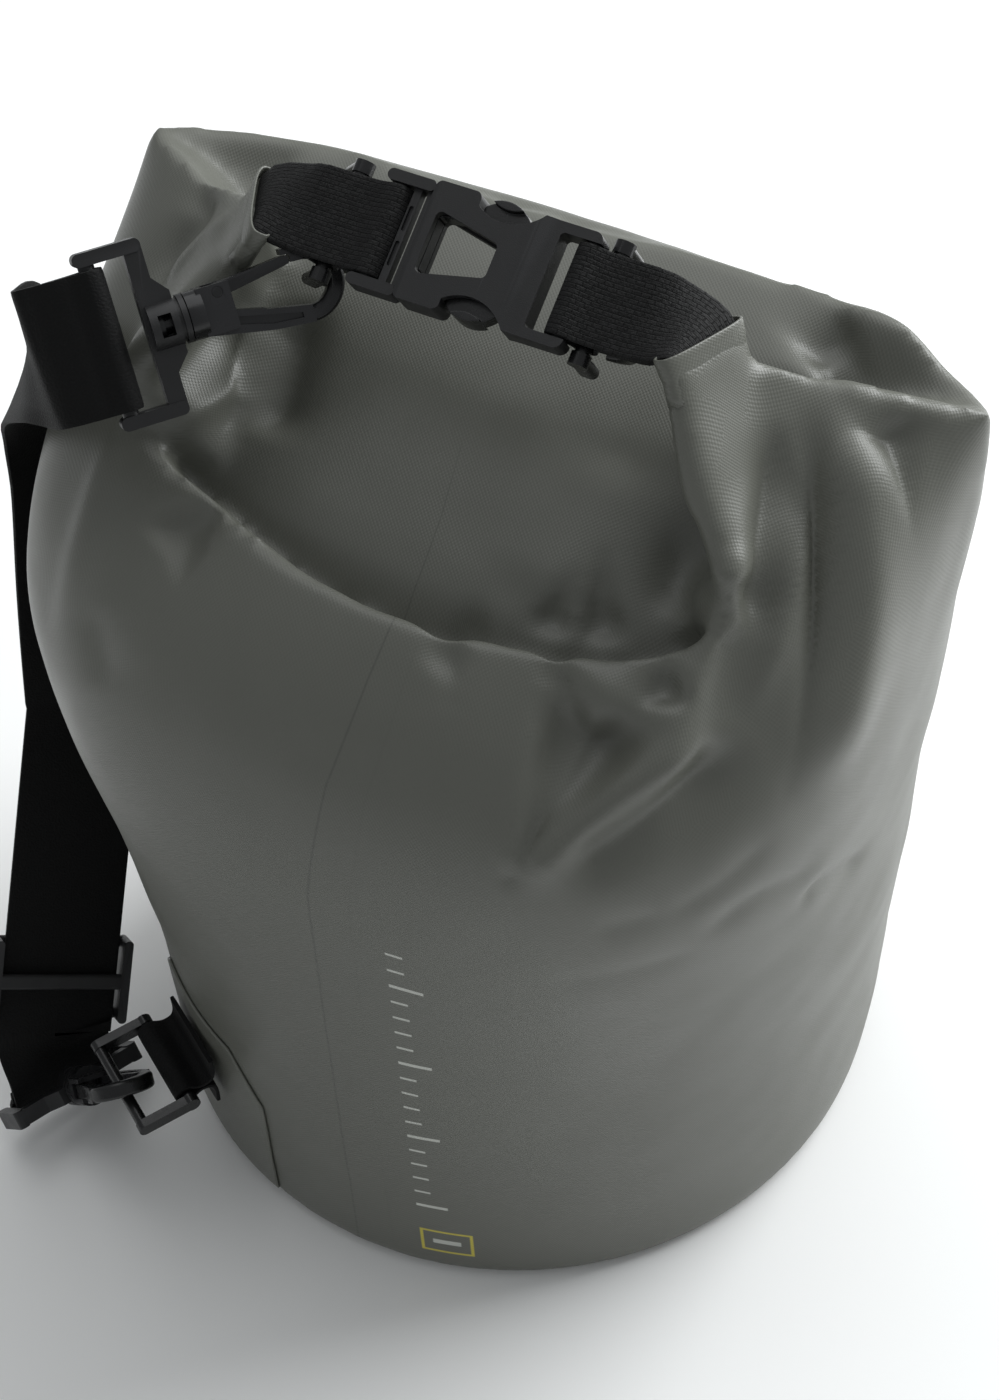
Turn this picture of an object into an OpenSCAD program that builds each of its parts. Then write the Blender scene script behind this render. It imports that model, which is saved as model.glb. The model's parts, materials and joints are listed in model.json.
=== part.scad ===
// Roll-top dry bag, rolled shut, with a closure buckle and a detachable shoulder strap.
// Units are millimetres. Z is up, the round base stands on Z = 0, the welded seam faces -Y.

/* [Bag body] */
// Diameter of the round base
body_d = 230; // [226:1:234]
// Wall of the coated fabric as a solid
wall = 1.4; // [1.2:0.1:1.6]
// Height of the two side corners of the rolled bag
ear_z = 303; // [301:1:305]
// Half width between the two side corners
ear_x = 129.5; // [128.5:0.5:130.5]
// Height of the front shoulder above the floor
crest_z = 266; // [265:1:267]

/* [Closure] */
// Width of the closure webbing
web_w = 25; // [24:0.5:26]
// Thickness of the doubled closure webbing
web_t = 3; // [2.8:0.1:3.2]
// Height of the buckle above the two side corners
handle_rise = 26; // [25:0.5:27]
// Forward lean of the buckle in degrees
buckle_lean = 31; // [30:1:32]

/* [Shoulder strap] */
// Width of the shoulder strap
strap_w = 38; // [37:0.5:39]
// Thickness of the shoulder strap
strap_t = 2.2; // [2:0.1:2.4]
// Place of the slider along the straight run, from its lower end
slider_at = 18; // [17:0.5:19]

/* [Clearances] */
// Gap between a webbing loop and the bar in it
bar_gap = 0.3; // [0.25:0.05:0.35]
// Radial gap of the swivel stem and the pivots
run_gap = 0.06; // [0.04:0.01:0.08]
// Gap between soft solids and their neighbours
soft_gap = 0.6; // [0.5:0.1:0.7]

/* [Hidden] */
$fn = 48;
pvc = [0.42, 0.43, 0.40];
webbing = [0.06, 0.06, 0.06];
plastic = [0.10, 0.10, 0.10];
body_r = body_d / 2;
buckle_z = ear_z + handle_rise;
bar_r = 2.2;
loop_r = bar_r + bar_gap;
ply = 1.5;

// Vector helpers
function unit(v) = v / norm(v);
function lerp(a, b, u) = a + (b - a) * u;
function soft(u) = let (k = min(1, max(0, u))) k * k * (3 - 2 * k);
function powr(v, e) = sign(v) * pow(abs(v), e);
function along(v, d) = unit(v - d * (v * d));
function spline(p, i, u) = let (n = len(p) - 1, a = p[max(0, i - 1)], b = p[i], c = p[min(n, i + 1)],
    d = p[min(n, i + 2)]) 0.5 * (2 * b + (c - a) * u + (2 * a - 5 * b + 4 * c - d) * u * u
    + (3 * b - a - 3 * c + d) * u * u * u);
function resample(p, k) = [for (i = [0 : len(p) - 2]) for (j = [0 : k - 1]) spline(p, i, j / k),
    p[len(p) - 1]];
function tangent(p, i) = unit(p[min(len(p) - 1, i + 1)] - p[max(0, i - 1)]);

// Places a child so that its X runs along h and its Y along w
module aim(o, h, w) {
    n = cross(h, w);
    translate(o)
        rotate([atan2(w[2], n[2]), -asin(h[2]), atan2(h[1], h[0])])
            children();
}

// Flat rectangle with round corners, from corner a to corner b
module round_box(a, b, r) {
    translate([a[0] + r, a[1]])
        square([b[0] - a[0] - 2 * r, b[1] - a[1]]);
    translate([a[0], a[1] + r])
        square([b[0] - a[0], b[1] - a[1] - 2 * r]);
    for (x = [a[0] + r, b[0] - r])
        for (y = [a[1] + r, b[1] - r])
            translate([x, y])
                circle(r);
}

// Faces of a stack of rings with m points each
function band(k, m, o, flip) = [for (i = [0 : k - 2]) for (j = [0 : m - 1])
    let (a = o + i * m + j, b = o + i * m + (j + 1) % m, c = b + m, d = a + m)
    for (f = flip ? [[a, c, b], [a, d, c]] : [[a, b, c], [a, c, d]]) f];
function cap(m, o, mid, flip) = [for (j = [0 : m - 1])
    let (a = o + j, b = o + (j + 1) % m) flip ? [b, a, mid] : [a, b, mid]];
function rim(m, o, i, flip) = [for (j = [0 : m - 1])
    let (a = o + j, b = o + (j + 1) % m, c = i + (j + 1) % m, d = i + j)
    for (f = flip ? [[a, c, b], [a, d, c]] : [[a, b, c], [a, c, d]]) f];
function flat(rings) = [for (r = rings) for (p = r) p];

// A solid swept through closed rings
module swept(rings) {
    m = len(rings[0]);
    k = len(rings);
    mids = [[for (c = [0 : 2]) [for (p = rings[0]) p[c]] * [for (j = [0 : m - 1]) 1 / m]],
        [for (c = [0 : 2]) [for (p = rings[k - 1]) p[c]] * [for (j = [0 : m - 1]) 1 / m]]];
    polyhedron(concat(flat(rings), mids),
        concat(band(k, m, 0, false), cap(m, 0, k * m, true), cap(m, (k - 1) * m, k * m + 1, false)));
}

// A sleeve between outer and inner rings, open at both ends
module sleeve(outer, inner) {
    m = len(outer[0]);
    k = len(outer);
    polyhedron(concat(flat(outer), flat(inner)),
        concat(band(k, m, 0, false), band(k, m, k * m, true), rim(m, 0, k * m, true),
            rim(m, (k - 1) * m, k * m + (k - 1) * m, false)));
}

// Body of the bag: t runs 0 to 1 up the wall, 1 to 1.6 over the rolled roof
function half_x(t) = t < 1 ? lerp(body_r, ear_x, soft((t - 0.12) / 0.62))
    : lookup(t, [[1, ear_x], [1.2, ear_x - 12], [1.4, ear_x - 34], [1.6, ear_x - 68]]);
function front_y(t) = t < 1 ? body_r - (body_r - 78) * pow(max(0, (t - 0.62) / 0.38), 2.2)
    : lookup(t, [[1, 78], [1.08, 68], [1.2, 59], [1.31, 41.5], [1.36, 19], [1.6, 4]]);
function back_y(t) = t < 1 ? body_r - (body_r - 56) * pow(max(0, (t - 0.62) / 0.38), 1.8)
    : lookup(t, [[1, 56], [1.2, 42], [1.4, 26], [1.6, 6]]);
function mid_y(t) = t < 1 ? 27 * soft((t - 0.5) / 0.5)
    : lookup(t, [[1, 27], [1.2, 21], [1.44, 12], [1.6, 0]]);
function front_z(t) = t < 1 ? crest_z * lookup(t, [[0, 0], [0.62, 0.657], [0.75, 0.79], [0.85, 0.89],
    [0.93, 0.962], [1, 1]]) : lookup(t, [[1, crest_z], [1.08, crest_z - 5], [1.2, crest_z - 23],
    [1.31, crest_z - 22], [1.36, crest_z - 20], [1.39, ear_z - 35], [1.6, ear_z - 18]]);
function side_z(t) = t < 1 ? ear_z * t : lookup(t, [[1, ear_z], [1.2, ear_z + 2.5], [1.36, ear_z + 6.5],
    [1.44, ear_z + 9], [1.5, ear_z + 2], [1.6, ear_z - 16]]);
function back_z(t) = t < 1 ? (ear_z - 6) * t : lookup(t, [[1, ear_z - 6], [1.2, ear_z - 3],
    [1.4, ear_z - 4], [1.6, ear_z - 16]]);
function full(t, s) = lookup(t, [[0, 1], [0.3, 1], [0.5, 0.94], [0.7, 0.84], [0.82, 0.84], [1, 1.3],
    [1.6, 1.3]]) - (s < 0 ? 0.09 : 0) * soft((t - 0.4) / 0.3) * soft((1 - t) / 0.15);
function skin(t, a, in) = let (c = cos(a), s = sin(a), e = full(t, s),
    ix = in * lookup(t, [[0, 1], [1.2, 1], [1.6, 0]]),
    iy = in * (s < 0 ? lookup(t, [[0, 1], [0.9, 1], [1.05, 0], [1.6, 0]])
        : lookup(t, [[0, 1], [1.15, 1], [1.6, 0]])),
    iz = in * 1.5 * soft((t - 0.55) / 0.4),
    y0 = mid_y(t), yf = front_y(t) + y0, yb = back_y(t) - y0, zs = side_z(t),
    k0 = pow(abs(s), lerp(1, s < 0 ? 0.38 : 0.6, soft((t - 0.6) / 0.4))),
    k = s < 0 ? lerp(k0, soft((-s - 0.12) / 0.78), soft((t - 1) / 0.16)) : k0,
    z = zs + ((s < 0 ? front_z(t) : back_z(t)) - zs) * k - iz,
    back = left_back * pow(max(0, -c), 1.5) * soft((t - 0.5) / 0.5) * lookup(t, [[1, 1], [1.4, 0]]),
    off = abs(a - 30) > 180 ? 360 - abs(a - 30) : a - 30,
    swell = t < 1 ? left_swell * bell((a - 206) / 26) * bell((z - 222) / 40)
        + right_swell * bell(off / 45) * (bell((z - 95) / 50) - 0.9 * bell((z - 225) / 38)) : 0)
    [(half_x(t) - ix) * powr(c, min(1, e)) + 4.5 * soft((t - 0.5) / 0.5) + swell * c,
        y0 + (s < 0 ? (yf - iy) : (yb - iy)) * powr(s, e) + back + swell * s, z];
left_back = 9;
left_swell = 6;
right_swell = 4.5;
function bell(u) = exp(-u * u);
wall_t = [0, 0.02, 0.2, 0.36, 0.48, 0.58, 0.66, 0.73, 0.79, 0.84, 0.885, 0.925, 0.96, 1,
    1.04, 1.08, 1.13, 1.2, 1.26, 1.31, 1.36, 1.39, 1.44, 1.5, 1.6];
ring_n = 56;
function ring(t, in) = [for (j = [0 : ring_n - 1]) skin(t, 360 * j / ring_n, in)];

// Welded tube of coated fabric with its rolled roof
module body_tube() {
    m = ring_n;
    k = len(wall_t);
    outer = [for (t = wall_t) ring(t, 0)];
    inner = [for (t = wall_t) ring(t, wall)];
    tip = [[4.5, 0, ear_z - 16], [4.5, 0, ear_z - 16 - 1.5 * wall]];
    color(pvc)
        polyhedron(concat(flat(outer), flat(inner), tip),
            concat(band(k, m, 0, false), cap(m, (k - 1) * m, 2 * k * m, false),
                band(k, m, k * m, true), cap(m, (2 * k - 1) * m, 2 * k * m + 1, true),
                rim(m, 0, k * m, true)));
}

// Round bottom panel with its welded flange
flange_r = (body_r - wall) * cos(180 / ring_n) - 0.15;
flange_h = 16;
module base_disc() {
    color(pvc)
        rotate_extrude($fn = 96)
            polygon([[0, 0.5], [flange_r - 11, 0.5], [flange_r - 10, 0], [flange_r, 0], [flange_r, flange_h],
                [flange_r - wall, flange_h], [flange_r - wall, 1.8], [0, 1.8]]);
}

// Path of the roll: along the crease below the roof, then up to the two webbing ends
web_end_l = [-61, -3, buckle_z - 3];
web_end_r = [65, -4, buckle_z - 2];
roll_in = 6;
roll_lift = roll_in + soft_gap + 3;
function seat(a) = skin(1.29, a, 0) + [0, 0, roll_lift];
roll_mid = [for (a = [-150 : 10 : -30]) seat(a)];
left_bow = [web_end_l, web_end_l + [-7, -5, -14], [-77, -14, ear_z - 5], [-83.5, -21, ear_z - 19]];
right_bow = [[91, -24, ear_z - 22], [80, -17, ear_z - 5], web_end_r + [7, -5, -14], web_end_r];
roll_knots = concat(left_bow, [for (i = [2 : 10]) roll_mid[i]], right_bow);
roll_path = resample(roll_knots, 3);
roll_n = len(roll_path) - 1;
function end_q(i) = min(1, min(i, roll_n - i) / 9);
function end_turn(i) = i < roll_n / 2 ? [-0.42, 0.9, -0.06] : [0.27, 0.96, -0.1];
function roll_q(i) = along(lerp(end_turn(i), [0, 1, 0.02], soft(end_q(i))), tangent(roll_path, i));
function section(o, d, q, hw, ht, n, e) = let (p = unit(cross(q, d)))
    [for (j = [0 : n - 1]) let (c = cos(360 * j / n), s = sin(360 * j / n))
        o + q * hw * powr(c, e) + p * ht * powr(s, e)];
function roll_ring(i, hw, ht, e) = section(roll_path[i], tangent(roll_path, i), roll_q(i), hw, ht, 16, e);
function roll_hw(i) = lerp(web_w / 2 + 2.4, 14, soft(end_q(i)));
function roll_ht(i) = lerp(web_t / 2 + 2.2, roll_in, soft(end_q(i)));
function slot_hw(i) = lerp(web_w / 2 + soft_gap + 0.2, 8, soft(end_q(i) * 2.25 - 1.25));
function slot_ht(i) = lerp(web_t / 2 + soft_gap + 0.1, 2, soft(end_q(i) * 2.25 - 1.25));

// Rolled mouth of the bag with its two open ends
module rolled_top() {
    color(pvc)
        sleeve([for (i = [1 : roll_n - 1]) roll_ring(i, roll_hw(i), roll_ht(i), 0.6)],
            [for (i = [1 : roll_n - 1]) roll_ring(i, slot_hw(i), slot_ht(i), 0.3)]);
}

// Stiff strip sewn into the mouth hem, inside the roll
module mouth_stiffener() {
    color(webbing)
        swept([for (i = [8 : roll_n - 8]) roll_ring(i, slot_hw(i) - 0.7, slot_ht(i) - 0.7, 0.3)]);
}

// Frame of the buckle: X to the right, Y up the lean, Z out of its face
buckle_o = [3, -4, buckle_z];
male_bar = -27.5;
female_bar = 28;
ring_bar_r = 34.3;
ring_bar_l = -41.5;
ring_drop = loop_r + web_t / 2 - 0.2;
module buckle_frame() {
    translate(buckle_o)
        rotate([buckle_lean, 0, 0])
            children();
}
function lean(p) = [p[0], p[1] * cos(buckle_lean) - p[2] * sin(buckle_lean),
    p[1] * sin(buckle_lean) + p[2] * cos(buckle_lean)] + buckle_o;

// Flat part of a closure webbing with the loop on the bar and the D-ring keeper
module webbing_flat(bar, keep, far) {
    lo = min(bar, far);
    hi = max(bar, far);
    rotate([90, 0, 0])
        linear_extrude(web_w, center = true)
            difference() {
                union() {
                    translate([lo, -web_t / 2])
                        square([hi - lo, web_t]);
                    translate([bar, 0])
                        circle(loop_r + ply);
                    translate([keep, -ring_drop])
                        circle(loop_r + ply);
                }
                translate([bar, 0])
                    circle(loop_r);
                translate([keep, -ring_drop])
                    circle(loop_r);
            }
}
function box_ring(o, d, q, hw, ht) = let (p = unit(cross(q, d)))
    [o + q * hw + p * ht, o - q * hw + p * ht, o - q * hw - p * ht, o + q * hw - p * ht];
function ribbon(p, q, hw, ht) = [for (i = [0 : len(p) - 1])
    let (d = tangent(p, i)) box_ring(p[i], d, along(q[i], d), hw, ht)];
buckle_y = lean([0, 1, 0]) - buckle_o;
left_in = resample([lean([-47, 0, 0]), lean([-53, 0, -0.4]), roll_path[0], roll_path[1]], 4);
right_in = resample([lean([45, 0, 0]), lean([52, 0, -0.3]), roll_path[roll_n], roll_path[roll_n - 1]], 4);
left_run = concat([for (i = [0 : 7]) left_in[i]], [for (i = [0 : 4]) roll_path[i]]);
right_run = concat([for (i = [0 : 7]) right_in[i]], [for (i = [0 : 4]) roll_path[roll_n - i]]);
left_turn = concat([for (i = [0 : 7]) lerp(buckle_y, roll_q(0), soft(i / 8))], [for (i = [0 : 4]) roll_q(i)]);
right_turn = concat([for (i = [0 : 7]) lerp(buckle_y, roll_q(roll_n), soft(i / 8))],
    [for (i = [0 : 4]) roll_q(roll_n - i)]);

// Left closure webbing, from the male buckle bar into the left end of the roll
module closure_webbing_left() {
    color(webbing) {
        buckle_frame()
            webbing_flat(male_bar, ring_bar_l, -48);
        swept(ribbon(left_run, left_turn, web_w / 2, web_t / 2));
    }
}

// Right closure webbing, from the female buckle bar into the right end of the roll
module closure_webbing_right() {
    color(webbing) {
        buckle_frame()
            webbing_flat(female_bar, ring_bar_r, 46);
        swept(ribbon(right_run, right_turn, web_w / 2, web_t / 2));
    }
}

// Female half of the side-release buckle: shoulders, a neck with two round notches, and the webbing lugs
notch = [4, 23];
notch_r = 12.6;
module female_plan() {
    round_box([-17, -16.4], [-3.6, 16.4], 2);
    difference() {
        round_box([-6, -15.9], [30.8, 15.9], 2.4);
        for (s = [-1, 1])
            translate([notch[0], s * notch[1]])
                circle(notch_r);
        for (s = [-1, 1])
            translate([-8, s > 0 ? 13 : -17])
                square([16, 4]);
    }
}
module female_window() {
    polygon([[-13.6, 6.9], [-11.654, 8.462], [4.146, 4.962], [5.4, 3.4], [5.4, -3.4], [4.146, -4.962],
        [-11.654, -8.462], [-13.6, -6.9]]);
    for (s = [-1, 1]) {
        translate([-12, s * 6.9])
            circle(1.6);
        translate([3.8, s * 3.4])
            circle(1.6);
    }
}
module buckle_female() {
    lug_in = web_w / 2 + 0.6;
    color(plastic)
        buckle_frame() {
            difference() {
                intersection() {
                    translate([0, 0, -6])
                        linear_extrude(12)
                            female_plan();
                    rotate([90, 0, 0])
                        linear_extrude(40, center = true)
                            polygon([[-18, 4.4], [-15.6, 5], [10, 5], [18.4, 3.6], [32, 3.4], [32, -3.4],
                                [18.4, -3.6], [10, -5], [-15.6, -5], [-18, -4.4]]);
                }
                translate([-18, -12.9, -2.7])
                    cube([33.5, 25.8, 5.4]);
                translate([0, 0, -7])
                    linear_extrude(14)
                        female_window();
                translate([0, 0, -7])
                    linear_extrude(14)
                        round_box([19.6, -lug_in], [36, lug_in], 1.2);
            }
            translate([female_bar, 0, 0])
                rotate([90, 0, 0])
                    cylinder(h = 2 * lug_in + 1, r = bar_r, center = true);
        }
}

// Male half of the side-release buckle with round rails and two ladder bars
arm_pivot = [-14.4, 9.2];
module buckle_male() {
    rail_in = web_w / 2 + 0.6;
    color(plastic)
        buckle_frame() {
            for (s = [-1, 1])
                translate([0, 0, -3.4])
                    linear_extrude(6.8)
                        round_box([-31.4, s > 0 ? rail_in : -rail_in - 3.1],
                            [-17.3, s > 0 ? rail_in + 3.1 : -rail_in], 1.5);
            translate([male_bar, 0, 0])
                rotate([90, 0, 0])
                    cylinder(h = 2 * rail_in + 1, r = bar_r, center = true);
            difference() {
                translate([-23.3, -rail_in - 0.5, -1.6])
                    cube([2.2, 2 * rail_in + 1, 3.2]);
                for (y = [-8.4, 1.4])
                    translate([0, 0, 0.8])
                        linear_extrude(2)
                            round_box([-22.8, y], [-21.6, y + 7], 0.55);
            }
            translate([-19.2, -rail_in - 0.5, -2])
                cube([1.9, 2 * rail_in + 1, 4]);
            difference() {
                translate([-18, -12.4, -2.3])
                    cube([4.4, 24.8, 4.6]);
                for (s = [-1, 1]) {
                    translate([arm_pivot[0], s * arm_pivot[1], -3])
                        cylinder(h = 6, r = 2 + run_gap);
                    translate([arm_pivot[0], s * arm_pivot[1] - 2.2, -3])
                        cube([3, 4.4, 6]);
                }
            }
        }
}

// One sprung arm of the male half: hub, blade and the round side button with its thicker cap
button = [3.5, 7.2];
button_r = 9.2;
module buckle_arm() {
    translate([arm_pivot[0], arm_pivot[1], -2.3])
        cylinder(h = 4.6, r = 2);
    translate([0, 0, -2.3])
        linear_extrude(4.6) {
            polygon([[-14, 7.9], [-14, 10.5], [-3, 11.6], [11, 11.6], [13, 10.4], [12.6, 8.9], [-2, 8.4]]);
            intersection() {
                translate(button)
                    circle(button_r);
                translate([-3, 9])
                    square([16, 9]);
            }
        }
    translate([0, 0, -4.2])
        linear_extrude(8.4)
            intersection() {
                translate(button)
                    circle(button_r);
                translate(notch)
                    circle(notch_r - 3.7);
            }
}
module buckle_arm_front() {
    color(plastic)
        buckle_frame()
            mirror([0, 1, 0])
                buckle_arm();
}
module buckle_arm_back() {
    color(plastic)
        buckle_frame()
            buckle_arm();
}

// Moulded D-ring: a round bar in the webbing and a flat bow below it
ring_half = web_w / 2 + 1.2;
ring_side = 3.4;
ring_deep = 11;
ring_thick = 5.6;
ring_foot = ring_deep + 9.4;
ring_turn_l = 35;
ring_turn = 9;
module ring_section() {
    round_box([-ring_side / 2, -ring_thick / 2], [ring_side / 2, ring_thick / 2], 1.6);
}
module d_ring(half) {
    mid = half + ring_side / 2;
    low = ring_foot - ring_side / 2;
    rotate([90, 0, 0])
        cylinder(h = 2 * half + 1, r = bar_r, center = true);
    for (s = [-1, 1]) {
        translate([0, s * mid, 0])
            rotate([90, 0, 0])
                cylinder(h = ring_side, r = ring_thick / 2, center = true);
        translate([0, s * mid, ring_turn - low])
            rotate([0, 0, 90])
                linear_extrude(low - ring_turn)
                    ring_section();
        translate([0, s * (mid - ring_turn), ring_turn - low])
            rotate([s > 0 ? 0 : 90, 90, 0])
                rotate_extrude(angle = 90)
                    translate([ring_turn, 0])
                        ring_section();
    }
    translate([0, mid - ring_turn, -low])
        rotate([90, 0, 0])
            linear_extrude(2 * (mid - ring_turn))
                rotate(90)
                    ring_section();
}
module d_ring_left() {
    color(plastic)
        buckle_frame()
            translate([ring_bar_l, 0, -ring_drop])
                rotate([0, ring_turn_l, 0])
                    d_ring(ring_half);
}
module d_ring_right() {
    color(plastic)
        buckle_frame()
            translate([ring_bar_r, 0, -ring_drop])
                d_ring(ring_half);
}

// Swivel snap hook: eye at the origin, strap side along +X, back of the hook on +Y
eye_r = 6;
rim_r = 10.6;
hook_half = 2.6;
gate_pivot = [23.5, -4.4];
stem_r = 3;
collar_x = 28;
barrel_x = 32.6;
module snap_hook() {
    difference() {
        union() {
            rotate_extrude()
                translate([(eye_r + rim_r) / 2, 0])
                    round_box([(eye_r - rim_r) / 2, -hook_half], [(rim_r - eye_r) / 2, hook_half], 1.3);
            translate([0, 0, -hook_half])
                linear_extrude(2 * hook_half) {
                    polygon([[0, rim_r], [0, eye_r], [21, 1.4], [28, 1.4], [28, 6.4], [11, 9.6]]);
                    polygon([[-1, -eye_r - 0.1], [-1, -rim_r], [4.6, -10.1], [4.6, -8.6], [2.4, -8.4],
                        [2.4, -6.2]]);
                }
        }
        translate([0, 0, -4])
            linear_extrude(8)
                polygon([[0, eye_r], [0, -eye_r], [2.4, -6.2], [2.4, -8.4], [4.6, -8.6], [4.6, -12.4],
                    [12, -12.4], [12, 3.7]]);
        for (z = [hook_half - 1.2, -hook_half - 1])
            translate([0, 0, z])
                linear_extrude(2.2)
                    polygon([[3, 8.6], [3, 7.2], [20.6, 3.2], [20.6, 5.4], [11, 7.9]]);
    }
    difference() {
        translate([20, -6.6, -4])
            cube([9, 12.8, 8]);
        translate([15, -10, -2.5])
            cube([12, 12, 5]);
        translate([gate_pivot[0], gate_pivot[1], -6])
            cylinder(h = 12, r = 1.4 + run_gap);
    }
    translate([collar_x, 0, 0])
        rotate([0, 90, 0])
            cylinder(h = barrel_x - 0.3 - collar_x, r = 6.6);
    translate([barrel_x - 1, 0, 0])
        rotate([0, 90, 0])
            cylinder(h = 9.2, r = stem_r);
    translate([barrel_x + 6.6, 0, 0])
        rotate([0, 90, 0])
            cylinder(h = 1.6, r = 4.3);
}
module snap_gate() {
    translate([gate_pivot[0], gate_pivot[1], -4])
        cylinder(h = 8, r = 1.4);
    translate([0, 0, -2.2])
        linear_extrude(4.4)
            union() {
                translate(gate_pivot)
                    circle(2);
                polygon([[23.6, -2.5], [23.4, -6.4], [5, -8.3], [2.8, -8.1], [2.8, -6.1], [5, -5.6]]);
            }
}

// Strap frame in which the stem of the snap hook turns
frame_bar = 54;
frame_in = strap_w / 2 + 1.2;
module strap_frame() {
    difference() {
        union() {
            translate([barrel_x, 0, 0])
                rotate([0, 90, 0])
                    cylinder(h = 10.2, r = 6.6);
            translate([0, 0, -2.6])
                linear_extrude(5.2) {
                    round_box([barrel_x + 6.4, -frame_in - 3.6], [barrel_x + 11.4, frame_in + 3.6], 1.8);
                    polygon([[barrel_x + 2.6, -8.4], [barrel_x + 2.6, 8.4], [barrel_x + 8, 14.6],
                        [barrel_x + 8, -14.6]]);
                }
            for (s = [-1, 1])
                translate([0, 0, -3])
                    linear_extrude(6)
                        round_box([barrel_x + 6.4, s > 0 ? frame_in : -frame_in - 3.6],
                            [frame_bar + 3.4, s > 0 ? frame_in + 3.6 : -frame_in], 1.7);
        }
        translate([barrel_x - 1, 0, 0])
            rotate([0, 90, 0])
                cylinder(h = 8, r = stem_r + run_gap);
        translate([barrel_x + 6.3, 0, 0])
            rotate([0, 90, 0])
                cylinder(h = 2.3, r = 4.7);
        translate([barrel_x + 4.4, -3, 1.2])
            cube([3.6, 6, 9]);
        translate([barrel_x + 1.5, 0, 0])
            rotate([0, 90, 0])
                difference() {
                    cylinder(h = 1, r = 8);
                    translate([0, 0, -1])
                        cylinder(h = 3, r = 5.8);
                }
    }
    translate([frame_bar, 0, 0])
        rotate([90, 0, 0])
            cylinder(h = 2 * frame_in + 1, r = bar_r, center = true);
}

// Sewn strap end, a little wider than the single strap: a loop on the frame bar and a short doubled tab
sewn_edge = 0.6;
module strap_end(tab) {
    rotate([90, 0, 0])
        linear_extrude(strap_w + sewn_edge, center = true)
            difference() {
                union() {
                    circle(loop_r + ply);
                    translate([0, -ply - 0.1])
                        square([tab, 2 * ply + 0.2]);
                }
                circle(loop_r);
            }
}

// Upper hook hangs in the left D-ring, lower hook in the anchor ring
up_h = unit([-0.665, -0.746, -0.02]);
up_w = along([0.464, -0.393, -0.794], up_h);
up_n = cross(up_h, up_w);
leg_at = 8;
up_leg = lean([ring_bar_l - leg_at * sin(ring_turn_l), -ring_half - ring_side / 2,
    -ring_drop - leg_at * cos(ring_turn_l)]);
up_o = up_leg + up_h * 2.4;
anchor_a = -123;
anchor_out = [cos(anchor_a), sin(anchor_a), 0];
anchor_side = [-sin(anchor_a), cos(anchor_a), 0];
anchor_z = 50;
anchor_bar = anchor_out * (body_r + 13) + [0, 0, anchor_z];
anchor_dip = 4;
anchor_leg = anchor_out * cos(anchor_dip) - [0, 0, sin(anchor_dip)];
anchor_half = 15.6;
anchor_deep = 14.5;
bow_r = 1.9;
low_h = unit([-0.64, 0.20, -0.70]);
low_n = along(anchor_side, low_h);
low_w = cross(low_n, low_h);
low_f = along([-0.36, -0.93, 0.13], low_h);
low_o = anchor_bar + anchor_leg * (anchor_deep + bow_r) + low_h * 0.6;

module upper_hook() {
    color(plastic)
        aim(up_o, up_h, up_w)
            snap_hook();
}
module upper_hook_gate() {
    color(plastic)
        aim(up_o, up_h, up_w)
            snap_gate();
}
module upper_strap_frame() {
    color(plastic)
        aim(up_o, up_h, up_w)
            strap_frame();
}
module lower_hook() {
    color(plastic)
        aim(low_o, low_h, low_w)
            snap_hook();
}
module lower_hook_gate() {
    color(plastic)
        aim(low_o, low_h, low_w)
            snap_gate();
}
module lower_strap_frame() {
    color(plastic)
        aim(low_o, low_h, low_f)
            strap_frame();
}

// Path of the shoulder strap between its two sewn ends
up_b = up_o + up_h * frame_bar;
up_tab = 13.6;
up_s = up_b + up_h * (up_tab + 0.9);
low_b = low_o + low_h * frame_bar;
low_u = along([0.02, 0.3, 0.95], low_f);
low_tab = 8.6;
low_s = low_b + low_u * (low_tab + 6);
bend_r = 9;
bend_c = up_s - up_n * bend_r;
run_a = low_b + low_u * 26;
run_b = [-133, -38, 118];
run_d = unit(run_b - run_a);
run_w = along([-0.55, -0.83, 0], run_d);
strap_mid = concat(resample([up_s, bend_c + (up_n * 0.707 + up_h * 0.707) * bend_r, bend_c + up_h * bend_r,
    bend_c + up_h * bend_r - up_n * 26, [-143, -16, ear_z - 63], [-143, -14, ear_z * 0.677],
    [-140, -23, ear_z * 0.535], run_b], 5),
    [for (k = [0.25, 0.5, 0.75, 1]) lerp(run_b, run_a, k)], [lerp(run_a, low_s, 0.5), low_s]);
strap_turn = concat(resample([up_w, up_w, up_w, [0.3, -0.8, -0.5], [0.0, -0.98, -0.1], [-0.25, -0.97, 0],
    [-0.45, -0.89, 0], run_w], 5), [run_w, run_w, run_w, run_w, lerp(run_w, low_f, 0.5), low_f]);
strap_p = concat([up_b + up_h * (up_tab - 5)], strap_mid,
    [low_b + low_u * (low_tab + 2.5), low_b + low_u * (low_tab - 3)]);
strap_q = concat([up_w], strap_turn, [low_f, low_f]);
module shoulder_strap() {
    color(webbing) {
        swept(ribbon(strap_p, strap_q, strap_w / 2, strap_t / 2));
        aim(up_b, up_h, up_w)
            strap_end(up_tab);
        aim(low_b, low_u, low_f)
            strap_end(low_tab);
    }
}

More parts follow.
